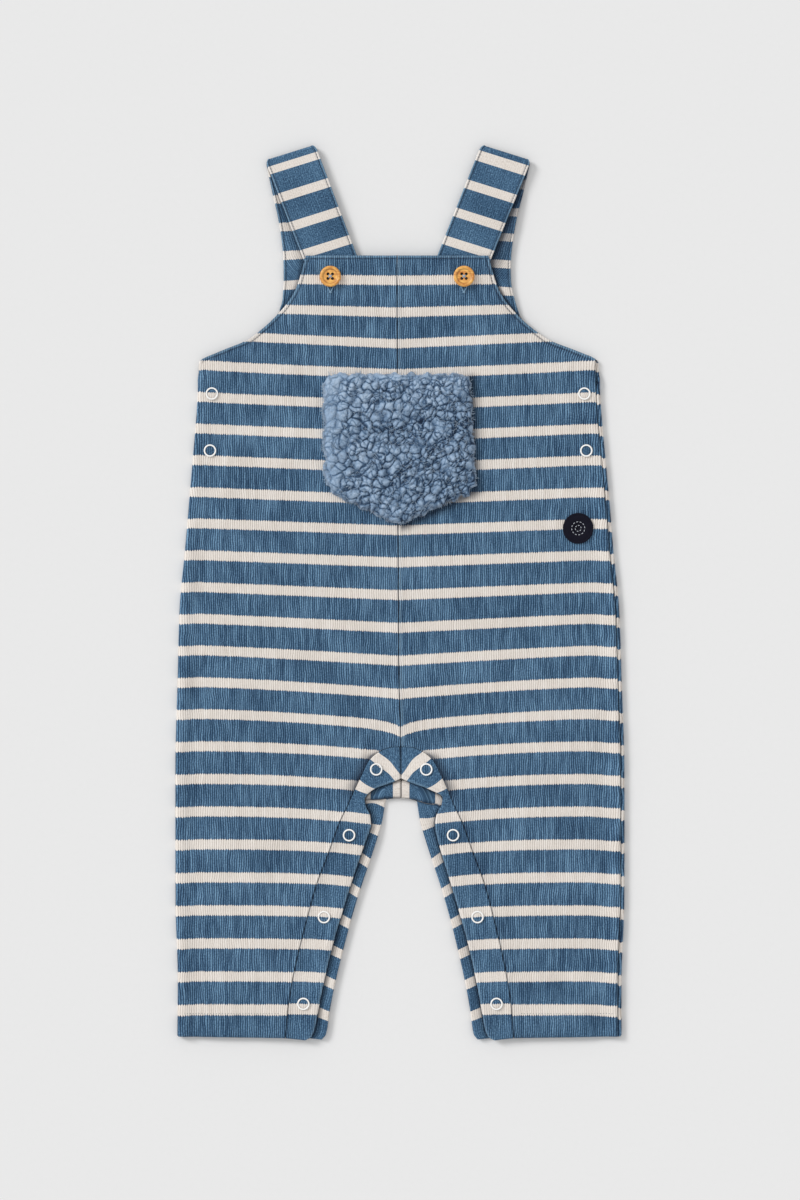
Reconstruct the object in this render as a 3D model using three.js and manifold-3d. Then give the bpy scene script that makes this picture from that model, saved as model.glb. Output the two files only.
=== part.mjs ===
// Baby dungarees of striped rib, lying flat on their back, in millimetres.
// +X is the wearer's left, +Y the shoulders, +Z up, and the cloth rests on z = 0.
import * as THREE from "three";
import { mergeVertices } from "three/addons/utils/BufferGeometryUtils.js";
import Module from "manifold-3d";

// Cloth
const cloth = 1.5; // one layer of rib
const bandCloth = 2; // the snap bands are doubled
const seamGap = 0.3; // between pieces that are sewn together
const seat = 0.4; // between the cloth and what is fixed on it
const halfSeam = seamGap / 2;

// Layers
const backHeight = cloth / 2; // middle of the back's wall
const sideTurn = 1.25; // radius of the wall's middle where a layer turns round the side
const sideLip = 0.5; // from the turn to the side seam
const sideSeam = cloth / 2 + sideTurn + sideLip; // from the outline to the side seam
const frontHeight = backHeight + 2 * sideTurn; // middle of the front's wall at the side
const bibLift = 1.5; // the bib lies over the ends of the straps
const crown = 1.2; // the body's swell over its sides

// Lengths along the garment
const bibTop = 218;
const underarm = 150;
const turnRun = 20; // from the underarm to where a side's turn is whole
const hipFan = -40; // below it the rows fan out
const hem = -288;

// Outline of the front from the bib's top to the hem: half the breadth at a height.
const outline = [
  { y: bibTop, x: 59.4 },
  { y: 198, x: 65.5 },
  { y: 188, x: 71.5 },
  { y: 179, x: 79.5 },
  { y: 170, x: 89.5 },
  { y: 164, x: 98 },
  { y: 157, x: 115 },
  { y: underarm, x: 128.7 },
  { y: 123, x: 130.2 },
  { y: 81, x: 133.8 },
  { y: 29, x: 138.5 },
  { y: -12, x: 142.4 },
  { y: -54, x: 143.7 },
  { y: -116, x: 145.3 },
  { y: -200, x: 145.2 },
  { y: -252, x: 143.7 },
  { y: hem, x: 144 },
];

// How far the dungarees lie askew: the whole breadth, and the middle more than the sides.
const askew = [
  { y: 290, whole: -0.5, middle: 0 },
  { y: 205, whole: -1.2, middle: 0 },
  { y: 90, whole: -0.7, middle: 0 },
  { y: -40, whole: -0.1, middle: 0 },
  { y: -112, whole: 0, middle: 1.4 },
  { y: -170, whole: 0, middle: 1.4 },
  { y: hem, whole: 0, middle: 0.6 },
];

// Back's edge above the armhole, up one side of the strap that is cut in one with it.
const strapRows = [
  { innerX: 0, innerY: 159, outerX: 114, outerY: 156.5 },
  { innerX: 0, innerY: 167, outerX: 97, outerY: 164.4 },
  { innerX: 0, innerY: 175, outerX: 88.5, outerY: 170.2 },
  { innerX: 0, innerY: 183, outerX: 81, outerY: 177 },
  { innerX: 0, innerY: 191, outerX: 77, outerY: 184 },
  { innerX: 0, innerY: 198, outerX: 75, outerY: 191 },
  { innerX: 0, innerY: 205, outerX: 74.2, outerY: 198 },
  { innerX: 8, innerY: 206, outerX: 73.8, outerY: 203 },
  { innerX: 16, innerY: 208.5, outerX: 73.8, outerY: 207.5 },
  { innerX: 23.5, innerY: 213, outerX: 73.8, outerY: 212 },
  { innerX: 29.5, innerY: 219.5, outerX: 74, outerY: 217.5 },
  { innerX: 35, innerY: 231, outerX: 75, outerY: 228 },
  { innerX: 41, innerY: 247, outerX: 77.5, outerY: 243 },
  { innerX: 47.5, innerY: 266, outerX: 81.5, outerY: 260 },
];

// Strap: the line that it folds over at the shoulder, and its end under the bib.
const strapFold = { innerX: 55.6, innerY: 290.6, outerX: 86, outerY: 281 };
const strapEnd = { innerX: 20.5, innerY: 202, outerX: 51.5, outerY: 192 };
const strapTurn = 1.05; // radius of the wall's middle in the fold

// Front snap band from the centre of the crotch to the hem: its seam to the front,
// its free edge, and how far that edge stands over the front's own height.
const frontBand = [
  { seamX: 0, seamY: -99.8, edgeX: 0, edgeY: -120.3, rise: 0.9 },
  { seamX: 5.9, seamY: -100, edgeX: 3.6, edgeY: -122, rise: 1 },
  { seamX: 13, seamY: -102.4, edgeX: 9.1, edgeY: -124.2, rise: 1 },
  { seamX: 18.5, seamY: -106.3, edgeX: 14.6, edgeY: -126, rise: 1 },
  { seamX: 21.8, seamY: -110.5, edgeX: 19.2, edgeY: -128.4, rise: 1 },
  { seamX: 23.9, seamY: -115.1, edgeX: 22.3, edgeY: -131.3, rise: 1 },
  { seamX: 26.6, seamY: -120.6, edgeX: 23.8, edgeY: -134.8, rise: 0.9 },
  { seamX: 30.2, seamY: -128.1, edgeX: 22.8, edgeY: -139.1, rise: 0.8 },
  { seamX: 34.5, seamY: -137.8, edgeX: 20.2, edgeY: -143.9, rise: 0.6 },
  { seamX: 39.8, seamY: -148.9, edgeX: 19.6, edgeY: -150.6, rise: 0.4 },
  { seamX: 47.5, seamY: -170.3, edgeX: 24.9, edgeY: -166.6, rise: 0.4 },
  { seamX: 54.6, seamY: -189.2, edgeX: 31.9, edgeY: -187.4, rise: 0.4 },
  { seamX: 60.1, seamY: -209.3, edgeX: 37.9, edgeY: -207.2, rise: 0.4 },
  { seamX: 65, seamY: -228.8, edgeX: 43.7, edgeY: -227.5, rise: 0.4 },
  { seamX: 69.2, seamY: -248.3, edgeX: 48.4, edgeY: -247.7, rise: 0.4 },
  { seamX: 72.4, seamY: -268.5, edgeX: 52.6, edgeY: -268.8, rise: 0.4 },
  { seamX: 74.1, seamY: hem, edgeX: 55.6, edgeY: hem - 0.6, rise: 0.4 },
];

// Back snap band, and the height of the roll that its edge makes under the crotch.
const backBand = [
  { seamX: 0, seamY: -113, edgeX: 0, edgeY: -133.2, roll: 2.8 },
  { seamX: 7.5, seamY: -113.6, edgeX: 5, edgeY: -133.4, roll: 2.8 },
  { seamX: 15.5, seamY: -116.5, edgeX: 9.9, edgeY: -134.8, roll: 2.6 },
  { seamX: 22, seamY: -123, edgeX: 11, edgeY: -140.4, roll: 1.8 },
  { seamX: 27, seamY: -133, edgeX: 12.2, edgeY: -147.6, roll: 0.8 },
  { seamX: 32, seamY: -147, edgeX: 14.5, edgeY: -156, roll: 0.2 },
  { seamX: 38.5, seamY: -168.5, edgeX: 19.4, edgeY: -171.6, roll: 0 },
  { seamX: 45.5, seamY: -188, edgeX: 25.8, edgeY: -190.5, roll: 0 },
  { seamX: 51.7, seamY: -208, edgeX: 31.8, edgeY: -210.6, roll: 0 },
  { seamX: 56.8, seamY: -228, edgeX: 36.8, edgeY: -230.1, roll: 0 },
  { seamX: 61.3, seamY: -248, edgeX: 41.3, edgeY: -249, roll: 0 },
  { seamX: 65.2, seamY: -268.5, edgeX: 45.4, edgeY: -270, roll: 0 },
  { seamX: 68.2, seamY: hem - 0.6, edgeX: 48.9, edgeY: hem - 2, roll: 0 },
];

// Soft troughs of the front, from one point to another.
const folds = [
  { fromX: 24, fromY: -112, toX: 9, toY: -84, depth: 0.9, spread: 5 },
  { fromX: 30, fromY: -124, toX: 58, toY: -136, depth: 0.6, spread: 7 },
  { fromX: 46, fromY: -150, toX: 82, toY: -205, depth: 0.5, spread: 9 },
  { fromX: 112, fromY: 128, toX: 84, toY: 88, depth: 0.4, spread: 8 },
  { fromX: 104, fromY: -20, toX: 62, toY: -78, depth: 0.4, spread: 10 },
];

// Pocket of curly pile
const pocket = { top: 142, corner: 68, point: 45.5, half: 49.6, pile: 7, edge: 3.2, lump: 0.7 };

// Button with a sunk middle and four holes
const button = { radius: 6.85, height: 3, rim: 4.75, sink: 0.9, hole: 0.75, spread: 1.38 };
const buttonPlace = { x: 43.3, y: 205.2 };

// Open ring caps of the snaps: two at each side, and four on each front band,
// given there by the row of the band's table and the share of its breadth.
const ring = { outer: 4.2, band: 1, height: 0.8 };
const sideRings = [
  { name: "upper", x: 120.8, y: 129.4 },
  { name: "lower", x: 122.5, y: 92.4 },
];
const bandRings = [
  { name: "crotch", row: 3, share: 0.45 },
  { name: "knee", row: 9.38, share: 0.47 },
  { name: "calf", row: 12.1, share: 0.49 },
  { name: "hem", row: 14.9, share: 0.48 },
];

// Round badge on the left hip
const badge = { x: 117, y: 42, radius: 10, height: 1.2, bevel: 0.4 };

// Fineness
const bodyColumns = 7;
const turnSteps = 4;
const bandColumns = 5;
const foldSteps = 6;
const strapSteps = 4;
const pocketSteps = 13;
const ringSides = 18;
const buttonSides = 28;
const holeSides = 10;

const looks = {
  rib: new THREE.MeshStandardMaterial({ color: 0x456581, roughness: 0.9, metalness: 0 }),
  pile: new THREE.MeshStandardMaterial({ color: 0x63788d, roughness: 1, metalness: 0 }),
  wood: new THREE.MeshStandardMaterial({ color: 0xd7964b, roughness: 0.45, metalness: 0 }),
  enamel: new THREE.MeshStandardMaterial({ color: 0xebebe9, roughness: 0.35, metalness: 0.2 }),
  navy: new THREE.MeshStandardMaterial({ color: 0x1c1c2d, roughness: 0.85, metalness: 0 }),
};

const mix = THREE.MathUtils.lerp;
const ease = THREE.MathUtils.smoothstep;

// Value of a table's column at a height: a cubic between two rows, whose slope at each
// row is the harmonic mean of the two sides' slopes, so that it never overshoots.
function tableAt(rows, column, y) {
  const last = rows.length - 1;
  if (y >= rows[0].y) {
    return rows[0][column];
  }
  if (y <= rows[last].y) {
    return rows[last][column];
  }
  const slope = (i) => (rows[i + 1][column] - rows[i][column]) / (rows[i + 1].y - rows[i].y);
  const tangent = (i) => {
    if (i === 0 || i === last) {
      return slope(Math.min(i, last - 1));
    }
    const before = slope(i - 1);
    const after = slope(i);
    return before * after > 0 ? (2 * before * after) / (before + after) : 0;
  };
  const i = rows.findIndex((row, k) => y <= row.y && y > rows[k + 1].y);
  const step = rows[i + 1].y - rows[i].y;
  const t = (y - rows[i].y) / step;
  const rise = rows[i + 1][column] - rows[i][column];
  const bendStart = tangent(i) * step - rise;
  const bendEnd = rise - tangent(i + 1) * step;
  return mix(rows[i][column], rows[i + 1][column], t) + t * (1 - t) * (mix(bendStart, bendEnd, t));
}

const halfWidth = (y) => tableAt(outline, "x", y);

// Share of a side's turn: none in the armhole, whole below the underarm. The other layer
// has drawn back from the side before the turn begins.
const turnShare = (y) => 1 - ease(y, underarm - turnRun, underarm - 2);
const shortShare = (y) => 1 - ease(y, underarm - 2, underarm + 4);

// Place across of a point of the even pattern, on the garment as it lies.
function laidX(x, y) {
  const out = x / halfWidth(y);
  return x + tableAt(askew, "whole", y) + tableAt(askew, "middle", y) * Math.max(0, 1 - out * out);
}

// Depth of all the troughs at a point: a bell across each, fading towards its ends.
function troughs(x, y) {
  let depth = 0;
  for (const fold of folds) {
    const alongX = fold.toX - fold.fromX;
    const alongY = fold.toY - fold.fromY;
    const length = Math.hypot(alongX, alongY);
    const run = ((x - fold.fromX) * alongX + (y - fold.fromY) * alongY) / length;
    const off = ((x - fold.fromX) * alongY - (y - fold.fromY) * alongX) / length;
    const middle = (run - length / 2) / (length / 2 + fold.spread);
    const fade = Math.max(0, 1 - middle * middle);
    depth += fold.depth * fade * Math.exp(-((off / fold.spread) ** 2));
  }
  return depth;
}

// Height of the middle of the front's wall.
function frontAt(x, y) {
  const across = Math.min(1, Math.abs(x) / halfWidth(y));
  const lift = bibLift * ease(y, underarm + 5, strapEnd.outerY - 2);
  const swell = crown * (1 - across ** 4) * (1 - 0.5 * ease(y, underarm, bibTop));
  return frontHeight + lift + swell - troughs(Math.abs(x), y);
}

// Closed body between two skins of points, rows by columns, sewn together round their edge.
function bodyBetween(lower, upper) {
  const rows = lower.length;
  const columns = lower[0].length;
  const place = new Float32Array([...lower, ...upper].flat().flatMap((p) => [p.x, p.y, p.z]));
  const low = (i, j) => i * columns + j;
  const high = (i, j) => (rows + i) * columns + j;
  const faces = [];
  const quad = (a, b, c, d) => faces.push(a, b, c, a, c, d);
  for (let i = 0; i < rows - 1; i += 1) {
    for (let j = 0; j < columns - 1; j += 1) {
      quad(high(i, j), high(i + 1, j), high(i + 1, j + 1), high(i, j + 1));
      quad(low(i, j), low(i, j + 1), low(i + 1, j + 1), low(i + 1, j));
    }
    quad(low(i, 0), low(i + 1, 0), high(i + 1, 0), high(i, 0));
    quad(low(i + 1, columns - 1), low(i, columns - 1), high(i, columns - 1), high(i + 1, columns - 1));
  }
  for (let j = 0; j < columns - 1; j += 1) {
    quad(low(0, j + 1), low(0, j), high(0, j), high(0, j + 1));
    quad(low(rows - 1, j), low(rows - 1, j + 1), high(rows - 1, j + 1), high(rows - 1, j));
  }
  const geometry = new THREE.BufferGeometry();
  geometry.setAttribute("position", new THREE.BufferAttribute(place, 3));
  geometry.setIndex(faces);
  return facingOut(geometry);
}

// A body made by mirrored rows has its faces turned, so that they point out again.
function facingOut(geometry) {
  const { array } = geometry.attributes.position;
  const faces = geometry.index.array;
  const corner = (k) => new THREE.Vector3().fromArray(array, 3 * faces[k]);
  let volume = 0;
  for (let k = 0; k < faces.length; k += 3) {
    volume += corner(k).dot(corner(k + 1).cross(corner(k + 2)));
  }
  if (volume < 0) {
    faces.reverse();
  }
  geometry.computeVertexNormals();
  return geometry;
}

// Cloth wall: the points of its middle are moved half its thickness along their normals.
function clothWall(middle, thickness) {
  const lastRow = middle.length - 1;
  const lastColumn = middle[0].length - 1;
  const skin = (reach) =>
    middle.map((row, i) =>
      row.map((point, j) => {
        const along = middle[Math.min(i + 1, lastRow)][j].clone();
        along.sub(middle[Math.max(i - 1, 0)][j]);
        const across = row[Math.min(j + 1, lastColumn)].clone();
        across.sub(row[Math.max(j - 1, 0)]);
        const normal = across.cross(along).normalize();
        return point.clone().addScaledVector(normal, reach);
      }),
    );
  return bodyBetween(skin(-thickness / 2), skin(thickness / 2));
}

// Path moved sideways in the plane, to the left of its run where the distance is positive.
function besidePath(path, distance) {
  return path.map((point, i) => {
    const next = path[Math.min(i + 1, path.length - 1)];
    const previous = path[Math.max(i - 1, 0)];
    const runX = next.x - previous.x;
    const runY = next.y - previous.y;
    const length = Math.hypot(runX, runY);
    return {
      x: point.x - (runY / length) * distance,
      y: point.y + (runX / length) * distance,
    };
  });
}

// Section of a side's turn, as steps out and up or down from where the flat cloth ends:
// an arc whose angle is half a turn times the share, and a short straight lip. It never
// goes further up or down than the other layer.
function turnedEdge(share, upward) {
  const arc = Math.PI * sideTurn;
  const lengths = [];
  for (let k = 1; k <= turnSteps; k += 1) {
    lengths.push((arc * k) / turnSteps);
  }
  lengths.push(arc + sideLip);
  let out = 0;
  let up = 0;
  let before = 0;
  const steps = lengths.map((length) => {
    const middle = Math.min((before + length) / 2, arc);
    const angle = (share * middle) / sideTurn;
    out += Math.cos(angle) * (length - before);
    up += Math.sin(angle) * (length - before);
    before = length;
    return { out, up, part: Math.min(1, length / arc) };
  });
  const highest = Math.max(2 * sideTurn, ...steps.map((step) => step.up));
  const scale = (upward * 2 * sideTurn) / highest;
  return steps.map((step) => ({ ...step, up: step.up * scale }));
}

// Row of a panel from its inner point to its outer point, with the cloth's turn at the end.
function panelRow(inner, outer, share, upward, heightAt, sideHeight) {
  const turn = turnedEdge(share, upward);
  const reach = Math.max(...turn.map((step) => step.out));
  const breadth = Math.hypot(outer.x - inner.x, outer.y - inner.y);
  const flat = 1 - (reach + (cloth / 2) * share) / breadth;
  const row = [];
  for (let j = 0; j <= bodyColumns; j += 1) {
    const part = (flat * j) / bodyColumns;
    const x = mix(inner.x, outer.x, part);
    const y = mix(inner.y, outer.y, part);
    row.push(new THREE.Vector3(x, y, heightAt(x, y)));
  }
  const end = row[bodyColumns];
  const aside = new THREE.Vector3(outer.x - inner.x, outer.y - inner.y, 0).normalize();
  for (const step of turn) {
    const point = end.clone().addScaledVector(aside, step.out);
    const level = share > 0 ? mix(end.z, sideHeight, step.part) : heightAt(point.x, point.y);
    row.push(point.setZ(level + step.up));
  }
  return row;
}

// Outer point of a body row. Where the other layer turns round the side, this one ends
// at the side seam, a seam's gap short of it.
function sidePoint(y, turns) {
  const short = turns ? 0 : (sideSeam + seamGap) * shortShare(y);
  return { x: halfWidth(y) - short, y };
}

// The wearer's left or right half, as it lies.
const laidHalf = (grid, side) =>
  grid.map((row) => row.map((p) => new THREE.Vector3(laidX(side * p.x, p.y), p.y, p.z)));

// Heights of the rows that run from the centre seam to the side.
function bodyHeights(from, to, steps) {
  return Array.from({ length: steps }, (_, k) => mix(from, to, k / steps));
}

// Front: rows from the bib's top down the centre seam, then down the snap band's seam.
// The rows fan out a little, so that those along the crotch's arc don't crowd.
function frontPanel(side) {
  const turns = side < 0;
  const fan = 8;
  const seamPath = frontBand.map((row) => ({ x: row.seamX, y: row.seamY }));
  const bandSeam = besidePath(seamPath, halfSeam);
  const centre = [
    ...bodyHeights(bibTop, underarm, 11),
    ...bodyHeights(underarm, underarm - turnRun, 5),
    ...bodyHeights(underarm - turnRun, hipFan, 6),
    ...bodyHeights(hipFan, bandSeam[0].y, 3),
  ];
  const inner = [...centre.map((y) => ({ x: halfSeam, y })), ...bandSeam];
  inner[centre.length].x = halfSeam;
  const bandStart = centre.length;
  const rows = inner.map((point, i) => {
    const along = Math.max(0, i - bandStart);
    const spread = fan * ease(-point.y, -hipFan, -bandSeam[0].y) * (1 - ease(along, 0, 9));
    const outer = sidePoint(Math.max(hem, point.y + spread), turns);
    return panelRow(point, outer, turns ? turnShare(outer.y) : 0, -1, frontAt, frontHeight);
  });
  return clothWall(laidHalf(rows, side), cloth);
}

// Back: rows up from the hem to the armhole, on up the strap, over its fold at the
// shoulder, and down again to its end under the bib.
function backPanel(side) {
  const turns = side > 0;
  const flat = () => backHeight;
  const hidden = 0.6; // the back's armhole lies inside the front's
  const seamPath = backBand.map((row) => ({ x: row.seamX, y: row.seamY }));
  const bandSeam = besidePath(seamPath, halfSeam);
  bandSeam[0].x = halfSeam;
  const rows = [];
  const fan = 8;
  bandSeam.forEach((point, i) => {
    const outer = sidePoint(Math.max(hem, point.y + fan * (1 - ease(i, 0, 8))), turns);
    rows.unshift(panelRow(point, outer, turns ? 1 : 0, 1, flat, backHeight));
  });
  const centre = [
    ...bodyHeights(bandSeam[0].y, hipFan, 4).slice(1),
    ...bodyHeights(hipFan, underarm - turnRun, 6),
    ...bodyHeights(underarm - turnRun, underarm + 3, 6),
  ];
  for (const y of centre) {
    const spread = fan * ease(-y, -hipFan, -bandSeam[0].y);
    const outer = sidePoint(y + spread, turns);
    outer.x -= hidden * (1 - turnShare(outer.y));
    const share = turns ? turnShare(outer.y) : 0;
    rows.push(panelRow({ x: halfSeam, y }, outer, share, 1, flat, backHeight));
  }
  const strapRow = (row, height) =>
    panelRow(
      { x: Math.max(halfSeam, row.innerX), y: row.innerY },
      { x: row.outerX, y: row.outerY },
      0,
      1,
      () => height,
      height,
    );
  for (const row of strapRows) {
    rows.push(strapRow(row, backHeight));
  }
  const reach = strapTurn + cloth / 2;
  const breadth = Math.hypot(strapFold.outerX - strapFold.innerX, strapFold.outerY - strapFold.innerY);
  const upX = (strapFold.innerY - strapFold.outerY) / breadth;
  const upY = (strapFold.outerX - strapFold.innerX) / breadth;
  const foldRow = (step) => ({
    innerX: strapFold.innerX + upX * step,
    innerY: strapFold.innerY + upY * step,
    outerX: strapFold.outerX + upX * step,
    outerY: strapFold.outerY + upY * step,
  });
  for (let k = 0; k <= foldSteps; k += 1) {
    const angle = (Math.PI * k) / foldSteps;
    const height = backHeight + strapTurn * (1 - Math.cos(angle));
    rows.push(strapRow(foldRow(strapTurn * Math.sin(angle) - reach), height));
  }
  const start = foldRow(-reach);
  for (let k = 1; k <= strapSteps; k += 1) {
    const row = {};
    for (const column of Object.keys(start)) {
      row[column] = mix(start[column], strapEnd[column], k / strapSteps);
    }
    rows.push(strapRow(row, backHeight + 2 * strapTurn));
  }
  return clothWall(laidHalf(rows, side), cloth);
}

// Point of the front band's middle at a place between rows and across its breadth.
// Its top lies level with the front's at the seam and rises towards the free edge.
function frontBandPoint(row, share) {
  const i = Math.min(Math.floor(row), frontBand.length - 2);
  const at = (column) => mix(frontBand[i][column], frontBand[i + 1][column], row - i);
  const x = mix(at("seamX"), at("edgeX"), share);
  const y = mix(at("seamY"), at("edgeY"), share);
  const level = frontAt(x, y) - (bandCloth - cloth) / 2;
  return new THREE.Vector3(x, y, level + at("rise") * share * share);
}

// Point of the back band's middle: flat, but for a roll that crests past the front's edge.
function backBandPoint(row, share) {
  const { seamX, seamY, edgeX, edgeY, roll } = backBand[row];
  const crest = ease(share, 0.42, 0.74) - 0.75 * ease(share, 0.74, 1);
  return new THREE.Vector3(
    mix(seamX, edgeX, share),
    mix(seamY, edgeY, share),
    bandCloth / 2 + roll * crest,
  );
}

// Snap band: a row of points across it for each row of its table, half a seam's gap
// inside its own seam and inside the centre seam.
function snapBand(table, pointAt, side) {
  const rows = table.map((_, i) => {
    const row = [];
    for (let j = 0; j <= bandColumns; j += 1) {
      row.push(pointAt(i, j / bandColumns));
    }
    return row;
  });
  const seam = besidePath(rows.map((row) => row[0]), -halfSeam);
  rows.forEach((row, i) => {
    row[0].x = seam[i].x;
    row[0].y = seam[i].y;
  });
  for (const point of rows[0]) {
    point.x = halfSeam;
  }
  return clothWall(laidHalf(rows, side), bandCloth);
}

// Pocket: a pentagon whose underside follows the front, with its pile crowned and lumpy.
function pilePocket() {
  const lower = [];
  const upper = [];
  for (let i = 0; i <= pocketSteps; i += 1) {
    const down = i / pocketSteps;
    const low = [];
    const high = [];
    for (let j = 0; j <= pocketSteps; j += 1) {
      const across = (2 * j) / pocketSteps - 1;
      const x = across * pocket.half * (1 - 0.03 * down);
      const foot = mix(pocket.point, pocket.corner, Math.abs(across));
      const y = mix(pocket.top, foot, down);
      const floor = frontAt(x, y) + cloth / 2 + seat;
      const laid = laidX(x, y);
      const rim = Math.min(1, 4 * Math.min(down, 1 - down, (1 - Math.abs(across)) / 2));
      const crowned = mix(pocket.edge, pocket.pile, Math.sqrt(rim * (2 - rim)));
      const lumps = pocket.lump * rim * Math.sin(2.4 * j + 0.7 * i) * Math.sin(2.1 * i - 0.5 * j);
      low.push(new THREE.Vector3(laid, y, floor));
      high.push(new THREE.Vector3(laid, y, floor + crowned + lumps));
    }
    lower.push(low);
    upper.push(high);
  }
  return bodyBetween(lower, upper);
}

// Round piece turned about its own +Z from a profile of radii and heights.
function turned(profile, sides) {
  const points = profile.map(([radius, height]) => new THREE.Vector2(radius, height));
  const geometry = new THREE.LatheGeometry(points, sides).rotateX(Math.PI / 2);
  geometry.deleteAttribute("normal");
  geometry.deleteAttribute("uv");
  return facingOut(mergeVertices(geometry, 1e-4));
}

function ringCap() {
  const inner = ring.outer - ring.band;
  const bevel = 0.2;
  const profile = [
    [inner, 0],
    [ring.outer, 0],
    [ring.outer - bevel, ring.height],
    [inner + bevel, ring.height],
    [inner, 0],
  ];
  return turned(profile, ringSides);
}

function roundBadge() {
  const profile = [
    [0, 0],
    [badge.radius, 0],
    [badge.radius, badge.height - badge.bevel],
    [badge.radius - badge.bevel, badge.height],
    [0, badge.height],
  ];
  return turned(profile, ringSides);
}

const wasm = await Module();
wasm.setup();

function toSolid(geometry) {
  const vertProperties = new Float32Array(geometry.attributes.position.array);
  const triVerts = new Uint32Array(geometry.index.array);
  return new wasm.Manifold(new wasm.Mesh({ numProp: 3, vertProperties, triVerts }));
}

function toGeometry(solid) {
  const mesh = solid.getMesh();
  const geometry = new THREE.BufferGeometry();
  geometry.setAttribute("position", new THREE.BufferAttribute(mesh.vertProperties, 3));
  geometry.setIndex(new THREE.BufferAttribute(mesh.triVerts, 1));
  geometry.computeVertexNormals();
  return geometry;
}

// Button: a turned disc with a round rim and a sunk middle, drilled through four times.
function woodButton() {
  const { radius, height, rim, sink } = button;
  const profile = [
    [0, 0],
    [0.72 * radius, 0],
    [0.95 * radius, 0.25 * height],
    [radius, 0.55 * height],
    [0.97 * radius, 0.85 * height],
    [0.89 * radius, height],
    [0.79 * radius, 0.98 * height],
    [rim, height - 0.45 * sink],
    [0.93 * rim, height - sink],
    [0, height - sink],
  ];
  let solid = toSolid(turned(profile, buttonSides));
  for (const [alongX, alongY] of [[1, 1], [-1, 1], [-1, -1], [1, -1]]) {
    const drill = turned(
      [
        [0, -1],
        [button.hole, -1],
        [button.hole, height + 1],
        [0, height + 1],
      ],
      holeSides,
    );
    drill.translate(alongX * button.spread, alongY * button.spread, 0);
    solid = solid.subtract(toSolid(drill));
  }
  return toGeometry(solid);
}

// Named mesh set on the cloth: its own +Z along the cloth's normal, its foot just clear.
function onCloth(name, geometry, look, middle, normal, thickness) {
  const mesh = new THREE.Mesh(geometry, look);
  mesh.name = name;
  mesh.position.copy(middle).addScaledVector(normal, thickness / 2 + seat);
  mesh.position.x = laidX(mesh.position.x, mesh.position.y);
  mesh.quaternion.setFromUnitVectors(new THREE.Vector3(0, 0, 1), normal);
  return mesh;
}

function frontNormal(x, y) {
  const step = 4;
  const slopeX = (frontAt(x + step, y) - frontAt(x - step, y)) / (2 * step);
  const slopeY = (frontAt(x, y + step) - frontAt(x, y - step)) / (2 * step);
  return new THREE.Vector3(-slopeX, -slopeY, 1).normalize();
}

function bandNormal(row, share) {
  const along = frontBandPoint(row + 0.3, share).sub(frontBandPoint(row - 0.3, share));
  const across = frontBandPoint(row, share + 0.15).sub(frontBandPoint(row, share - 0.15));
  const normal = across.cross(along).normalize();
  return normal.z < 0 ? normal.negate() : normal;
}

const dungarees = new THREE.Group();

function add(name, geometry, look) {
  const mesh = new THREE.Mesh(geometry, look);
  mesh.name = name;
  dungarees.add(mesh);
}

for (const [end, side] of [["left", 1], ["right", -1]]) {
  add(`front_${end}`, frontPanel(side), looks.rib);
  add(`back_${end}`, backPanel(side), looks.rib);
  add(`front_band_${end}`, snapBand(frontBand, frontBandPoint, side), looks.rib);
  add(`back_band_${end}`, snapBand(backBand, backBandPoint, side), looks.rib);

  const placed = (name, geometry, look, x, y) => {
    const middle = new THREE.Vector3(x, y, frontAt(x, y));
    dungarees.add(onCloth(name, geometry, look, middle, frontNormal(x, y), cloth));
  };
  placed(`button_${end}`, woodButton(), looks.wood, side * buttonPlace.x, buttonPlace.y);
  for (const place of sideRings) {
    placed(`snap_side_${place.name}_${end}`, ringCap(), looks.enamel, side * place.x, place.y);
  }
  for (const place of bandRings) {
    const middle = frontBandPoint(place.row, place.share);
    const normal = bandNormal(place.row, place.share);
    middle.x *= side;
    normal.x *= side;
    dungarees.add(onCloth(`snap_${place.name}_${end}`, ringCap(), looks.enamel, middle, normal, bandCloth));
  }
}

add("pocket", pilePocket(), looks.pile);
const badgeMiddle = new THREE.Vector3(badge.x, badge.y, frontAt(badge.x, badge.y));
dungarees.add(
  onCloth("badge", roundBadge(), looks.navy, badgeMiddle, frontNormal(badge.x, badge.y), cloth),
);

export default dungarees;
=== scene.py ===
import bpy
import numpy as np
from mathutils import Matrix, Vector


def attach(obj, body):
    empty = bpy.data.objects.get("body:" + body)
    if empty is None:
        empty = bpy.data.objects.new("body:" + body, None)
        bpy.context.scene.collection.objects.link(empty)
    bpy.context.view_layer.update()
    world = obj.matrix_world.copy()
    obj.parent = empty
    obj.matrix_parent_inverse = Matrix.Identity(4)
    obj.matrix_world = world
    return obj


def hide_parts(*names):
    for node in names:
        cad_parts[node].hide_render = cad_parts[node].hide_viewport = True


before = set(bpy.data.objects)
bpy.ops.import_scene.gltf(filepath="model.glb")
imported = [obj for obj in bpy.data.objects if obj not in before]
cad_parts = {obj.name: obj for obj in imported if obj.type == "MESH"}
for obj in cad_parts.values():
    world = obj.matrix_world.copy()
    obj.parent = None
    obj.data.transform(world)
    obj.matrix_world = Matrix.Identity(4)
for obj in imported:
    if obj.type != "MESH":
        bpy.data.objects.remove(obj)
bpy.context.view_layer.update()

# Baby dungarees of striped cotton rib, laid flat on their back. Sizes are in millimetres
# and become metres when a mesh is made. +X is the wearer's left, +Y the shoulders, and
# the cloth rests on z = 0.

# Floor, camera and light
# A plain pale floor, seen straight down, with a soft key light from the upper left that
# leaves a narrow shadow on the right of each edge, and an even light all round.

METRE = 0.001
view = {"x": 0.65, "y": -4.55, "tall": 780, "distance": 3000, "sensor": 36}
floor_level = -0.05
floor_side = 20000
key_light = {"turn": 58, "lean": 57, "strength": 1.73, "spread": 20}
sky_strength = 0.70


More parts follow.
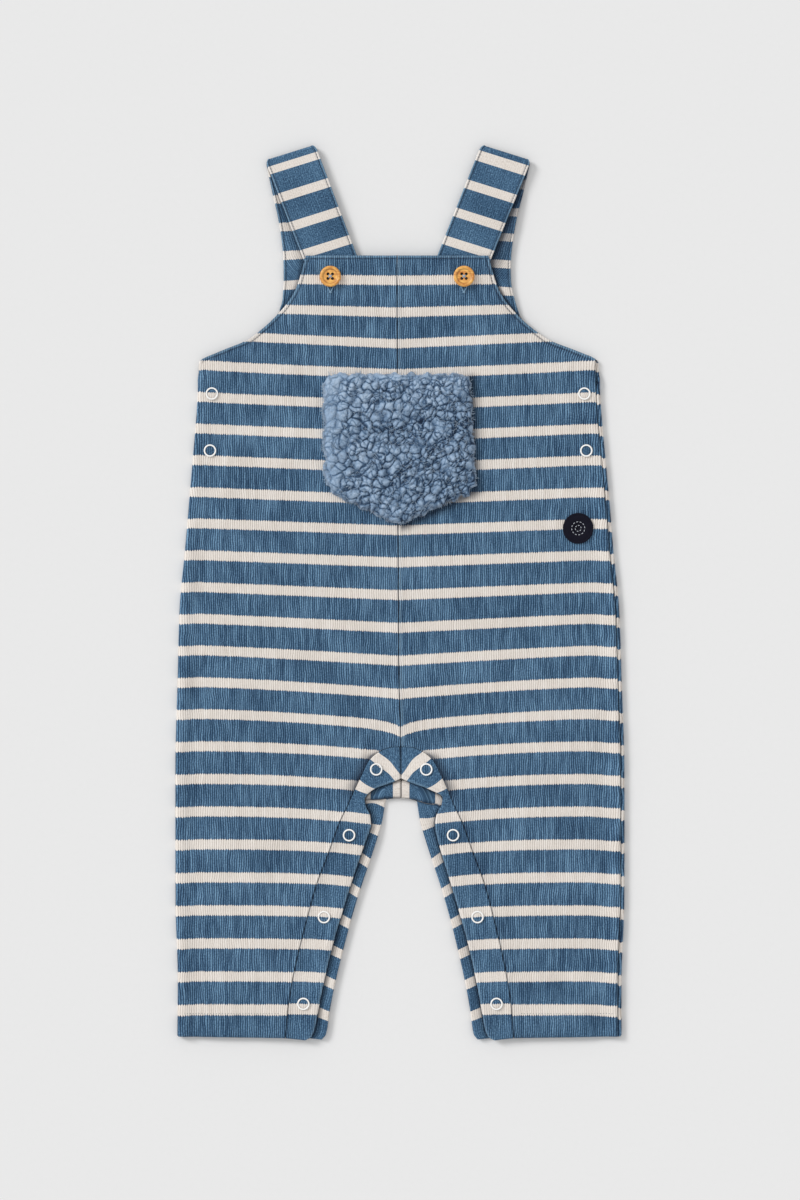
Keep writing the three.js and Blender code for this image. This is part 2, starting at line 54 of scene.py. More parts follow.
def add_node(tree, kind, inputs=(), **settings):
    """A node with its settings; each input named is set to a value or linked to a socket."""
    node = tree.nodes.new(kind)
    for setting, value in settings.items():
        setattr(node, setting, value)
    for name, value in dict(inputs).items():
        if isinstance(value, bpy.types.NodeSocket):
            tree.links.new(value, node.inputs[name])
        else:
            node.inputs[name].default_value = value
    return node


def number(tree, operation, *values):
    """The output of a math node on these values or sockets."""
    return add_node(tree, "ShaderNodeMath", enumerate(values), operation=operation).outputs[0]


def span(tree, value, low, high, to_low=0.0, to_high=1.0, smooth=False):
    """A value taken from low..high to to_low..to_high, and held at the ends."""
    kind = "SMOOTHSTEP" if smooth else "LINEAR"
    inputs = {"Value": value, "From Min": low, "From Max": high, "To Min": to_low, "To Max": to_high}
    return add_node(tree, "ShaderNodeMapRange", inputs, interpolation_type=kind).outputs[0]


def blend_colours(tree, share, one, other, kind="MIX"):
    """The output of a colour mix: sockets 6 and 7 are its colours, and output 2 the result."""
    inputs = {0: share, 6: one, 7: other}
    return add_node(tree, "ShaderNodeMix", inputs, data_type="RGBA", blend_type=kind).outputs[2]


def noise(tree, vector, scale, detail=2.0, roughness=0.5):
    """The value of a noise texture at a vector."""
    inputs = {"Vector": vector, "Scale": scale, "Detail": detail, "Roughness": roughness}
    return add_node(tree, "ShaderNodeTexNoise", inputs).outputs["Fac"]


def from_srgb(red, green, blue):
    """Linear colour, with alpha, of an sRGB colour given in steps of 255."""
    levels = np.array([red, green, blue]) / 255
    linear = np.where(levels <= 0.04045, levels / 12.92, ((levels + 0.055) / 1.055) ** 2.4)
    return (*linear.tolist(), 1.0)


def new_material(name):
    """A material, its node tree and its Principled shader, whose fixed numbers are set on it."""
    material = bpy.data.materials.new(name)
    material.use_nodes = True
    tree = material.node_tree
    return material, tree, tree.nodes["Principled BSDF"]


def wire(tree, shader, inputs):
    """The shader's inputs, each set to a value or linked to a socket."""
    for name, value in inputs.items():
        if isinstance(value, bpy.types.NodeSocket):
            tree.links.new(value, shader.inputs[name])
        else:
            shader.inputs[name].default_value = value


def grid_quads(rows, columns, start=0):
    """Corners of the quads of a grid of points numbered row by row."""
    corner = start + np.arange(rows - 1)[:, None] * columns + np.arange(columns - 1)
    quads = np.stack([corner, corner + 1, corner + columns + 1, corner + columns], axis=-1)
    return quads.reshape(-1, 4)


def make_piece(name, points, faces, materials, uv=None, values=None, face_material=None):
    """A mesh object of points in millimetres and faces of three or four corners. uv gives
    each point's place in the cloth, values the point attributes, and the faces are turned
    outward when the volume that they enclose comes out negative."""
    points = np.asarray(points, float) * METRE
    faces = np.asarray(faces)
    a, b, c = (points[faces[:, k]] for k in (0, 1, 2))
    volume = (a * np.cross(b, c)).sum()
    if faces.shape[1] == 4:
        volume += (a * np.cross(c, points[faces[:, 3]])).sum()
    if volume < 0:
        faces = faces[:, ::-1]
    mesh = bpy.data.meshes.new(name)
    mesh.vertices.add(len(points))
    mesh.vertices.foreach_set("co", points.ravel())
    mesh.loops.add(faces.size)
    mesh.loops.foreach_set("vertex_index", faces.ravel().astype(np.int32))
    mesh.polygons.add(len(faces))
    mesh.polygons.foreach_set("loop_start", np.arange(0, faces.size, faces.shape[1], dtype=np.int32))
    if face_material is not None:
        mesh.polygons.foreach_set("material_index", np.asarray(face_material, np.int32))
    mesh.update(calc_edges=True)
    mesh.shade_smooth()
    if uv is not None:
        layer = mesh.uv_layers.new(name="cloth")
        layer.data.foreach_set("uv", np.asarray(uv, float)[faces.ravel()].ravel())
    for attribute, value in (values or {}).items():
        stored = mesh.attributes.new(attribute, "FLOAT", "POINT")
        stored.data.foreach_set("value", np.asarray(value, np.float32).ravel())
    for material in materials:
        mesh.materials.append(material)
    piece = bpy.data.objects.new(name, mesh)
    bpy.context.scene.collection.objects.link(piece)
    return piece


scene = bpy.context.scene
scene.view_settings.view_transform = "Standard"

camera = bpy.data.objects.new("camera", bpy.data.cameras.new("camera"))
camera.location = Vector((view["x"], view["y"], view["distance"])) * METRE
camera.data.sensor_width = view["sensor"]
camera.data.lens = view["sensor"] * view["distance"] / view["tall"]
camera.data.clip_end = 20
scene.collection.objects.link(camera)
scene.camera = camera

key = bpy.data.objects.new("key_light", bpy.data.lights.new("key_light", "SUN"))
key.data.energy = key_light["strength"]
key.data.angle = np.radians(key_light["spread"])
key.rotation_euler = (np.radians(key_light["lean"]), 0, np.radians(180 + key_light["turn"]))
scene.collection.objects.link(key)

world = bpy.data.worlds.new("studio")
world.use_nodes = True
world.node_tree.nodes["Background"].inputs["Strength"].default_value = sky_strength
world.node_tree.nodes["Background"].inputs["Color"].default_value = (1, 1, 1, 1)
scene.world = world

floor_material, tree, shader = new_material("pale_floor")
grain = noise(tree, add_node(tree, "ShaderNodeTexCoord").outputs["Object"], 300)
wire(tree, shader, {
    "Base Color": blend_colours(tree, grain, from_srgb(232, 232, 232), from_srgb(234, 234, 234)),
    "Roughness": 0.9,
    "Specular IOR Level": 0.0,
})
corners = np.array([[-1, -1, 0], [1, -1, 0], [1, 1, 0], [-1, 1, 0]]) * floor_side / 2
corners[:, 2] = floor_level
floor = make_piece("floor", corners, np.array([[0, 1, 2, 3]]), [floor_material])

# Striped rib cloth
# The whole garment is cut from one cotton rib, whose cords run down the body and whose
# cream stripes are knitted in, so their edges step from cord to cord.

rib = {"cord": 1.43, "stripe_half": 0.151, "pitch": 21}
blues = [from_srgb(18, 42, 70), from_srgb(65, 99, 129), from_srgb(118, 155, 186)]
creams = [from_srgb(184, 172, 160), from_srgb(229, 221, 213), from_srgb(248, 244, 239)]


def striped_rib_group():
    """Node group of the rib. Its vector holds the number of cords across in X and the
    number of stripes along in Y. Colour: cream within stripe_half of a whole number of
    stripes, else blue, streaked cord by cord. Height: a round back on every cord. Cords
    gives how clear the cords are: where it is low, the knit's fine grain shows instead."""
    group = bpy.data.node_groups.new("striped_rib", "ShaderNodeTree")
    group.interface.new_socket("Cloth", in_out="INPUT", socket_type="NodeSocketVector")
    group.interface.new_socket("Cords", in_out="INPUT", socket_type="NodeSocketFloat")
    group.interface.new_socket("Colour", in_out="OUTPUT", socket_type="NodeSocketColor")
    group.interface.new_socket("Height", in_out="OUTPUT", socket_type="NodeSocketFloat")
    entry = add_node(group, "NodeGroupInput")
    place = add_node(group, "ShaderNodeSeparateXYZ", {0: entry.outputs["Cloth"]})
    cords, stripes = place.outputs[0], place.outputs[1]
    clear = entry.outputs["Cords"]

    def grain(across, along, seed, detail=2.0, rough=0.5, of=cords):
        """Noise drawn out by its own scales across and along the cords."""
        at = add_node(group, "ShaderNodeCombineXYZ", {
            0: number(group, "MULTIPLY", of, across), 1: number(group, "MULTIPLY", stripes, along), 2: seed,
        })
        return noise(group, at.outputs[0], 1.0, detail, rough)

    # Cords waver a little, so the grooves between them aren't ruled lines.
    wander = span(group, grain(0.1, 1.6, 0.0, 3.0), 0.3, 0.7, -0.4, 0.4)
    wavy = number(group, "ADD", cords, wander)
    across = number(group, "SUBTRACT", number(group, "FRACT", wavy), 0.5)
    groove = number(group, "MULTIPLY", number(group, "ABSOLUTE", across), 2.0)
    whole_cord = number(group, "FLOOR", wavy)
    chance = add_node(group, "ShaderNodeTexWhiteNoise", {"W": whole_cord}, noise_dimensions="1D").outputs[0]

    # Each cord is lighter or darker in runs of its own, and shade is painted into the grooves.
    run = span(group, grain(2.3, 1.1, 4.0, 2.0, of=whole_cord), 0.3, 0.7, -0.22, 0.22)
    ditch = number(group, "MULTIPLY", number(group, "POWER", groove, 2.4), 0.95)
    ribbed = number(group, "MULTIPLY", number(group, "SUBTRACT", run, ditch), clear)
    knit = grain(1.5, rib["pitch"] / 0.95, 3.0, 2.0, 0.7)
    grainy = span(group, clear, 0.0, 1.0, 0.4, 0.22)
    speckle = number(group, "MULTIPLY", span(group, knit, 0.3, 0.7, -1.0, 1.0), grainy)
    broad = span(group, grain(0.045, 0.7, 7.0), 0.3, 0.7, -0.1, 0.1)
    tone = number(group, "ADD", number(group, "ADD", ribbed, speckle), broad)
    tone = number(group, "ADD", tone, span(group, clear, 0.0, 1.0, 0.46, 0.72))
    ramp = add_node(group, "ShaderNodeValToRGB", {0: tone})
    pale_tone = span(group, tone, 0.0, 1.0, 0.22, 0.78)
    pale = add_node(group, "ShaderNodeValToRGB", {0: pale_tone})
    for node, colours in ((ramp, blues), (pale, creams)):
        node.color_ramp.elements[0].color = colours[0]
        node.color_ramp.elements[1].color = colours[2]
        node.color_ramp.elements.new(0.5).color = colours[1]

    # A stripe's edge steps in at the grooves and by a little chance on every cord.
    turned = number(group, "FRACT", number(group, "ADD", stripes, 0.5))
    off = number(group, "ABSOLUTE", number(group, "SUBTRACT", turned, 0.5))
    step_in = number(group, "ADD", span(group, chance, 0.0, 1.0, -0.008, 0.008), span(group, groove, 0.15, 1.0, -0.016, 0.022))
    stepped = number(group, "MULTIPLY", step_in, span(group, clear, 0.2, 0.8))
    edge = number(group, "SUBTRACT", rib["stripe_half"], stepped)
    cream = span(group, number(group, "SUBTRACT", edge, off), -0.004, 0.004, smooth=True)
    colour = blend_colours(group, cream, ramp.outputs[0], pale.outputs[0])
    back = number(group, "SUBTRACT", 1.0, number(group, "MULTIPLY", groove, groove))
    high = number(group, "MULTIPLY", back, span(group, clear, 0.0, 1.0, 0.25, 1.0))
    height = number(group, "ADD", high, span(group, knit, 0.2, 0.8, -0.35, 0.35))
    leave = add_node(group, "NodeGroupOutput")
    group.links.new(colour, leave.inputs["Colour"])
    group.links.new(height, leave.inputs["Height"])
    return group


rib_group = striped_rib_group()


def rib_material(name, relief=0.24):
    """Cotton rib: the group's colour and height on a dull shader with a faint sheen. The
    attribute cords says how clear the cords are. The attribute shade paints shade over what
    lies deep between layers or in a seam, where it also draws the seam's dark line, and below
    0 it paints a highlight on what stands up at a turned edge."""
    material, tree, shader = new_material(name)
    place = add_node(tree, "ShaderNodeUVMap", uv_map="cloth").outputs[0]
    knit = add_node(tree, "ShaderNodeGroup", node_tree=rib_group)
    tree.links.new(place, knit.inputs["Cloth"])
    clear = add_node(tree, "ShaderNodeAttribute", attribute_name="cords").outputs["Fac"]
    tree.links.new(clear, knit.inputs["Cords"])
    shade = add_node(tree, "ShaderNodeAttribute", attribute_name="shade").outputs["Fac"]
    # Painted shade multiplies the colour towards dark; painted highlight screens it lighter.
    dark = blend_colours(tree, 1.0, knit.outputs["Colour"], (0.13, 0.15, 0.19, 1), "MULTIPLY")
    pale = blend_colours(tree, 1.0, knit.outputs["Colour"], (0.2, 0.3, 0.38, 1), "SCREEN")
    lit = blend_colours(tree, span(tree, shade, 0.0, -1.0), knit.outputs["Colour"], pale)
    bump = add_node(tree, "ShaderNodeBump", {
        "Height": knit.outputs["Height"], "Distance": relief * METRE, "Strength": 1.0,
    })
    wire(tree, shader, {
        "Base Color": blend_colours(tree, span(tree, shade, 0.0, 1.0), lit, dark),
        "Roughness": span(tree, knit.outputs["Height"], 0.0, 1.2, 0.98, 0.86),
        "Specular IOR Level": 0.25,
        "Sheen Weight": 0.08,
        "Sheen Roughness": 0.5,
        "Normal": bump.outputs[0],
    })
    return material


body_rib = rib_material("rib_body")

# Where the stripes lie on the body, numbered from the bib down: the height of each one's
# middle at the sides, how far it drops to the centre seam, and the power of its droop.


def table(columns, *rows):
    """A table's columns by name, each as an array."""
    return dict(zip(columns.split(), np.array(rows, float).T))


def table_at(rows, column, at, key="y"):
    """Value of a table's column: a cubic between two rows, whose slope at each row is the
    harmonic mean of the slopes on both sides of it, so that it never overshoots."""
    order = np.argsort(rows[key])
    knots, values = rows[key][order], rows[column][order]
    slope = np.diff(values) / np.diff(knots)
    before, after = slope[:-1], slope[1:]
    level = before * after <= 0
    mean = np.where(level, 0, 2 * before * after / np.where(level, 1, before + after))
    tangent = np.concatenate([slope[:1], mean, slope[-1:]])
    at = np.clip(at, knots[0], knots[-1])
    i = np.clip(np.searchsorted(knots, at, side="right") - 1, 0, len(knots) - 2)
    step = knots[i + 1] - knots[i]
    t = (at - knots[i]) / step
    rise = values[i + 1] - values[i]
    bend = (1 - t) * (tangent[i] * step - rise) + t * (rise - tangent[i + 1] * step)
    return values[i] + rise * t + t * (1 - t) * bend


def ease(value, low, high):
    """Smooth step from 0 at low to 1 at high: 3 t^2 - 2 t^3."""
    t = np.clip((value - low) / (high - low), 0, 1)
    return t * t * (3 - 2 * t)


stripe_side = 129
stripe_rows = table(
    "number side drop power",
    (-1, 224.4, 0.8, 1), (0, 204.0, 1.2, 1), (1, 185.6, 3.6, 1), (2, 167.6, 5.9, 1),
    (3, 148.4, 6.2, 0.75), (4, 127.4, 5.8, 0.9), (6, 86.3, 5.3, 1), (7, 65.5, 5.2, 1),
    (8, 45.2, 4.5, 1), (10, 3.9, 5.3, 1), (12, -37.2, 6.8, 1.2), (13, -57.9, 7.6, 1.35),
    (14, -78.6, 7.8, 1.55), (15, -99.5, 7.2, 2), (16, -120.7, 7.9, 2.3), (17, -141.8, 9, 2.7),
    (18, -163.2, 9.4, 3.3), (20, -206, 10, 3.8), (22, -248.9, 9, 3.8), (23, -270.4, 3, 3.8),
    (24, -295.5, 2, 3.8),
)
side_droop = {-1: {"start": 125, "depth": 0.5}, 1: {"start": 114, "depth": 1.3}}
centre_pinch = {"y": -91, "spread": 13, "depth": 4.2, "reach": 9}


def body_stripes(x, y):
    """Number of stripes from the bib down to a point of the body, with x towards the
    wearer's left. The height is first taken to what it would be at the side, by the drop
    times a power of the share of the way to the centre, and the table then gives the
    number there. Near the side itself the stripes droop once more."""
    x, y = np.broadcast_arrays(np.asarray(x, float), np.asarray(y, float))
    share = np.clip(1 - np.abs(x) / stripe_side, 0, 1)
    level = y + 5 * share
    for _ in range(4):
        drop = table_at(stripe_rows, "drop", level, key="side")
        level = y + drop * share ** table_at(stripe_rows, "power", level, key="side")
    pull = np.exp(-np.abs(x) / centre_pinch["reach"])
    level = level + centre_pinch["depth"] * pull * np.exp(-(((y - centre_pinch["y"]) / centre_pinch["spread"]) ** 2))
    for side, droop in side_droop.items():
        level = level + droop["depth"] * ease(side * x, droop["start"], 142) ** 2
    return table_at(stripe_rows, "number", level, key="side")


# Back, with the straps
# Two halves of one layer of rib, sewn down the centre back, each cut in one with its
# strap. The strap folds over at the shoulder and comes down in front, under the bib.

cloth = 1.5
seam_half = 0.08
seat = 0.4
back_height = cloth / 2
side_turn = 1.25
side_lip = 0.5
side_seam = cloth / 2 + side_turn + side_lip
front_height = back_height + 2 * side_turn
bib_top, underarm, turn_run, hip_fan, hem = 219, 150, 20, -40, -288
row_step = 1.7
back_columns, front_columns = 72, 96
turn_steps = 8
hem_fan = 8

outline = table(
    "y x",
    (218, 59.4), (198, 65.5), (188, 71.5), (179, 79.5), (170, 89.5), (164, 98), (157, 115),
    (150, 128.7), (123, 130.2), (81, 133.8), (29, 138.5), (-12, 142.4), (-54, 143.7),
    (-116, 145.3), (-200, 145.2), (-252, 143.7), (-288, 144),
)
askew = table(
    "y whole middle left_side",
    (290, -0.5, 0, 0), (205, -1.2, 0, 0), (178, -1.1, 0, 0), (162, -1, 0, 1.4), (152, -1, 0, 2.4),
    (130, -0.9, 0, 1.7), (60, -0.6, 0, 1.6), (20, -0.4, 0, 1), (-40, -0.1, 0, 0.9), (-112, 0, 1.4, 1.1),
    (-170, 0, 1.4, 1.2), (-288, 0, 0.6, 0.6),
)
strap_rows = table(
    "row inner_x inner_y outer_x outer_y",
    (0, 0, 159, 114, 156.5), (1, 0, 167, 97, 164.4), (2, 0, 175, 88.5, 170.2),
    (3, 0, 183, 81, 177), (4, 0, 191, 77, 184), (5, 0, 198, 75, 191), (6, 0, 205, 74.2, 198),
    (7, 8, 206, 73.8, 203), (8, 16, 208.5, 73.8, 207.5), (9, 23.5, 213, 73.8, 212),
    (10, 29.5, 219.5, 74, 217.5), (11, 35, 231, 75, 228), (12, 41, 247, 77.5, 243),
    (13, 47.5, 266, 81.5, 260),
)
strap_fold = {"inner": (53.8, 291.2), "outer": (86.3, 281)}
strap_end = {"inner": (19.6, 202.3), "outer": (51.2, 192)}
strap_turn = 1.05
strap_front_rows = 53
strap_inset = 1.6
strap_rounding = 2.4
strap_lift = {"whole": 1.1, "edge": 1.5}
strap_bow = {-1: -0.6, 1: 1.4}
strap_shadow = {-1: {"depth": 0.6, "reach": 2}, 1: {"depth": 0.95, "reach": 13}}
back_band = table(
    "row seam_x seam_y edge_x edge_y roll seam_stripe edge_stripe",
    (0, 0, -113, 0, -133.2, 2.8, 15.0, 15.0), (1, 7.5, -113.6, 5, -133.4, 2.8, 15.25, 15.2),
    (2, 15.5, -116.5, 9.9, -134.8, 2.7, 15.7, 16.0), (3, 22, -123, 11, -140.4, 2.5, 15.75, 16.25),
    (4, 27, -133, 12.2, -147.6, 2.0, 16.0, 16.75), (5, 32, -147, 14.5, -156, 0.4, 17, 17.1),
    (6, 38.5, -168.5, 19.4, -171.6, 0, 18.2, 17.8), (7, 45.5, -188, 25.8, -190.5, 0, 19.2, 18.78),
    (8, 51.7, -208, 31.8, -210.6, 0, 20.15, 19.78), (9, 56.8, -228, 36.8, -230.1, 0, 21.1, 20.76),
    (10, 61.3, -248, 41.3, -249, 0, 22.1, 21.73), (11, 65.2, -268.5, 45.4, -270, 0, 23.06, 22.76),
    (11.8, 67.6, -285, 48, -286.6, 0, 23.82, 23.57), (12, 68.2, -288.6, 50.6, -290, 0, 24, 23.73),
)
# Heights of the stripes up each strap's back, and their distances down its front from
# the fold; the stripe at the centre of the bib is number 0.
strap_marks = {
    -1: {"back": [(2, 162), (1, 180.5), (0, 199.6), (-1, 219.1), (-2, 237.6), (-3, 255.8), (-4, 273.3), (-4.5, 283)],
         "front": [(-4.5, 0), (-5, 7), (-6, 26.3), (-7, 46.3), (-8, 65.8), (-9, 85), (-10, 105)]},
    1: {"back": [(2, 160), (1, 177.5), (0, 195.7), (-1, 213.2), (-2, 230.8), (-3, 247), (-4, 265.2), (-4.75, 283)],
        "front": [(-4.7, 0), (-5, 8), (-6, 27.2), (-7, 46.8), (-8, 66), (-9, 85.7), (-10, 105.5)]},
}


def half_width(y):
    """Half the breadth of the body at a height."""
    return table_at(outline, "x", y)


def laid_x(x, y):
    """Place across of a point of the even pattern, on the garment as it lies askew."""
    out = x / half_width(y)
    bowed = table_at(askew, "middle", y) * np.maximum(0, 1 - out * out)
    return x + table_at(askew, "whole", y) + bowed + table_at(askew, "left_side", y) * ease(out, 0.88, 1)


def turn_share(y):
    """Share of a side's turn: none in the armhole, whole below the underarm."""
    return 1 - ease(y, underarm - turn_run, underarm - 2)


def side_points(y, turns):
    """Outer points of the body's rows: on the outline, or where the other layer turns round
    the side, at the side seam."""
    short = 0 if turns else (side_seam + 2 * seam_half) * (1 - ease(y, underarm - 2, underarm + 4))
    return np.stack([half_width(y) - short, y], axis=-1)


def beside(path, distance):
    """A path moved sideways by a distance, to the left of its run."""
    run = np.gradient(path, axis=0)
    run /= np.linalg.norm(run, axis=1, keepdims=True)
    return path + distance * np.stack([-run[:, 1], run[:, 0]], axis=1)


def spaced(length, count, near=(0.12, 0.35, 0.7, 1.15, 1.6, 2.05, 2.6, 3.3)):
    """Distances from 0 to a length: close together at both ends, where the cloth's edge is
    rounded, and even between."""
    near = np.array(near)
    length = np.asarray(length, float)[..., None]
    middle = np.linspace(0, 1, count - 2 * len(near))
    start = near[-1] + (length - 2 * near[-1]) * middle
    head = np.broadcast_to(np.concatenate([[0], near[:-1]]), (*length.shape[:-1], len(near)))
    return np.concatenate([head, start, length - head[..., ::-1]], axis=-1)


def panel_rows(inner, outer, share, upward, height_at, side_height, columns):
    """Rows of a panel from its inner to its outer points, with the side's turn at their ends:
    an arc of half a turn times the share, and a short straight lip. Returns the points and
    how far across each one is, measured in the flat cloth."""
    arc = np.pi * side_turn
    ends = np.append(arc * np.arange(1, turn_steps + 1) / turn_steps, arc + side_lip)
    starts = np.append(0, ends[:-1])
    angle = share[:, None] * np.minimum((starts + ends) / 2, arc) / side_turn
    out = np.cumsum(np.cos(angle) * (ends - starts), axis=1)
    up = np.cumsum(np.sin(angle) * (ends - starts), axis=1)
    highest = np.maximum(2 * side_turn, up.max(axis=1, keepdims=True))
    up *= upward * 2 * side_turn / highest
    reach = out.max(axis=1) + cloth / 2 * share
    breadth = np.linalg.norm(outer - inner, axis=1)
    aside = (outer - inner) / breadth[:, None]
    flat = spaced(breadth - reach, columns)
    across = np.concatenate([flat, flat[:, -1:] + out], axis=1)
    place = inner[:, None] + across[..., None] * aside[:, None]
    height = height_at(place[..., 0], place[..., 1])
    part = np.minimum(1, ends / arc)
    turned = height[:, columns - 1, None] * (1 - part) + side_height[:, None] * part
    tail = np.where(share[:, None] > 0, turned, height[:, columns:])
    height[:, columns:] = tail + up
    in_cloth = np.concatenate([flat, flat[:, -1:] + ends], axis=1)
    return np.concatenate([place, height[..., None]], axis=-1), in_cloth


def laid_half(points, side):
    """The wearer's left or right half, as it lies."""
    x, y, z = np.moveaxis(points, -1, 0)
    return np.stack([laid_x(side * x, y), y, z], axis=-1)


def unit(vectors):
    """Vectors of length one."""
    return vectors / np.maximum(np.linalg.norm(vectors, axis=-1, keepdims=True), 1e-9)


def ridge(off, wide):
    """A bell of height 1: e to the power -(off / wide)^2."""
    return np.exp(-((off / wide) ** 2))


def edge_distances(points):
    """Distance of each grid point from the first and last row and column, along the grid."""
    def run(axis):
        step = np.linalg.norm(np.diff(points, axis=axis), axis=-1)
        start = np.zeros(points.shape[:2])
        after = np.cumsum(step, axis=axis)
        if axis == 0:
            start[1:] = after
            return start, start[-1:] - start
        start[:, 1:] = after
        return start, start[:, -1:] - start
    return (*run(0), *run(1))


def cloth_shell(name, points, thickness, uv, material, rims, clear=1.0, shade=0.0, press=0.0):
    """Closed shell of cloth on a grid of middle points. Both skins lie along the normals at
    half the thickness times sqrt(1 - (1 - d / r)^2) within r of an edge, where d is the
    distance from it. rims gives r for the first and last row and column, and the upper skin
    is pressed in by press. clear and shade are the material's attributes."""
    rows, columns = points.shape[:2]
    normal = unit(np.cross(np.gradient(points, axis=1), np.gradient(points, axis=0)))
    full = np.ones((rows, columns))
    for distance, rim in zip(edge_distances(points), rims):
        near = np.clip(distance / rim, 0, 1)
        full = np.minimum(full, np.sqrt(np.maximum(1 - (1 - near) ** 2, 0)))
    reach = thickness / 2 * np.maximum(full, 0.03)[..., None] * normal
    pressed = np.broadcast_to(press, (rows, columns))[..., None] * normal
    faces_up = normal[..., 2:] > 0
    one = points + reach - np.where(faces_up, pressed, 0)
    other = points - reach + np.where(faces_up, 0, pressed)
    skins = np.concatenate([one.reshape(-1, 3), other.reshape(-1, 3)])
    total = rows * columns
    top = grid_quads(rows, columns)
    index = np.arange(total).reshape(rows, columns)
    loop = np.concatenate([index[0, :-1], index[:-1, -1], index[-1, :0:-1], index[:0:-1, 0]])
    after = np.roll(loop, -1)
    rim_faces = np.stack([after, loop, loop + total, after + total], axis=1)
    faces = np.concatenate([top, top[:, ::-1] + total, rim_faces])
    cloth_uv = np.concatenate([uv.reshape(-1, 2)] * 2)
    values = {
        kind: np.tile(np.broadcast_to(value, (rows, columns)).ravel(), 2)
        for kind, value in (("cords", clear), ("shade", shade))
    }
    return make_piece(name, skins, faces, [material], uv=cloth_uv, values=values)


def band_path(rows, column, at):
    """Points of a band's seam or edge at places between its table's rows."""
    return np.stack([table_at(rows, f"{column}_x", at, key="row"), table_at(rows, f"{column}_y", at, key="row")], axis=1)


def row_places(rows, column, step):
    """Places between a table's rows, about a step apart along one of its edges."""
    fine = np.linspace(rows["row"][0], rows["row"][-1], 800)
    run = np.linalg.norm(np.diff(band_path(rows, column, fine), axis=0), axis=1)
    length = np.concatenate([[0], np.cumsum(run)])
    return np.interp(np.linspace(0, length[-1], int(length[-1] / step)), length, fine)


def steps(start, end, step=row_step):
    """Even steps from start up to, and without, end."""
    return np.linspace(start, end, max(2, int(abs(end - start) / step)), endpoint=False)


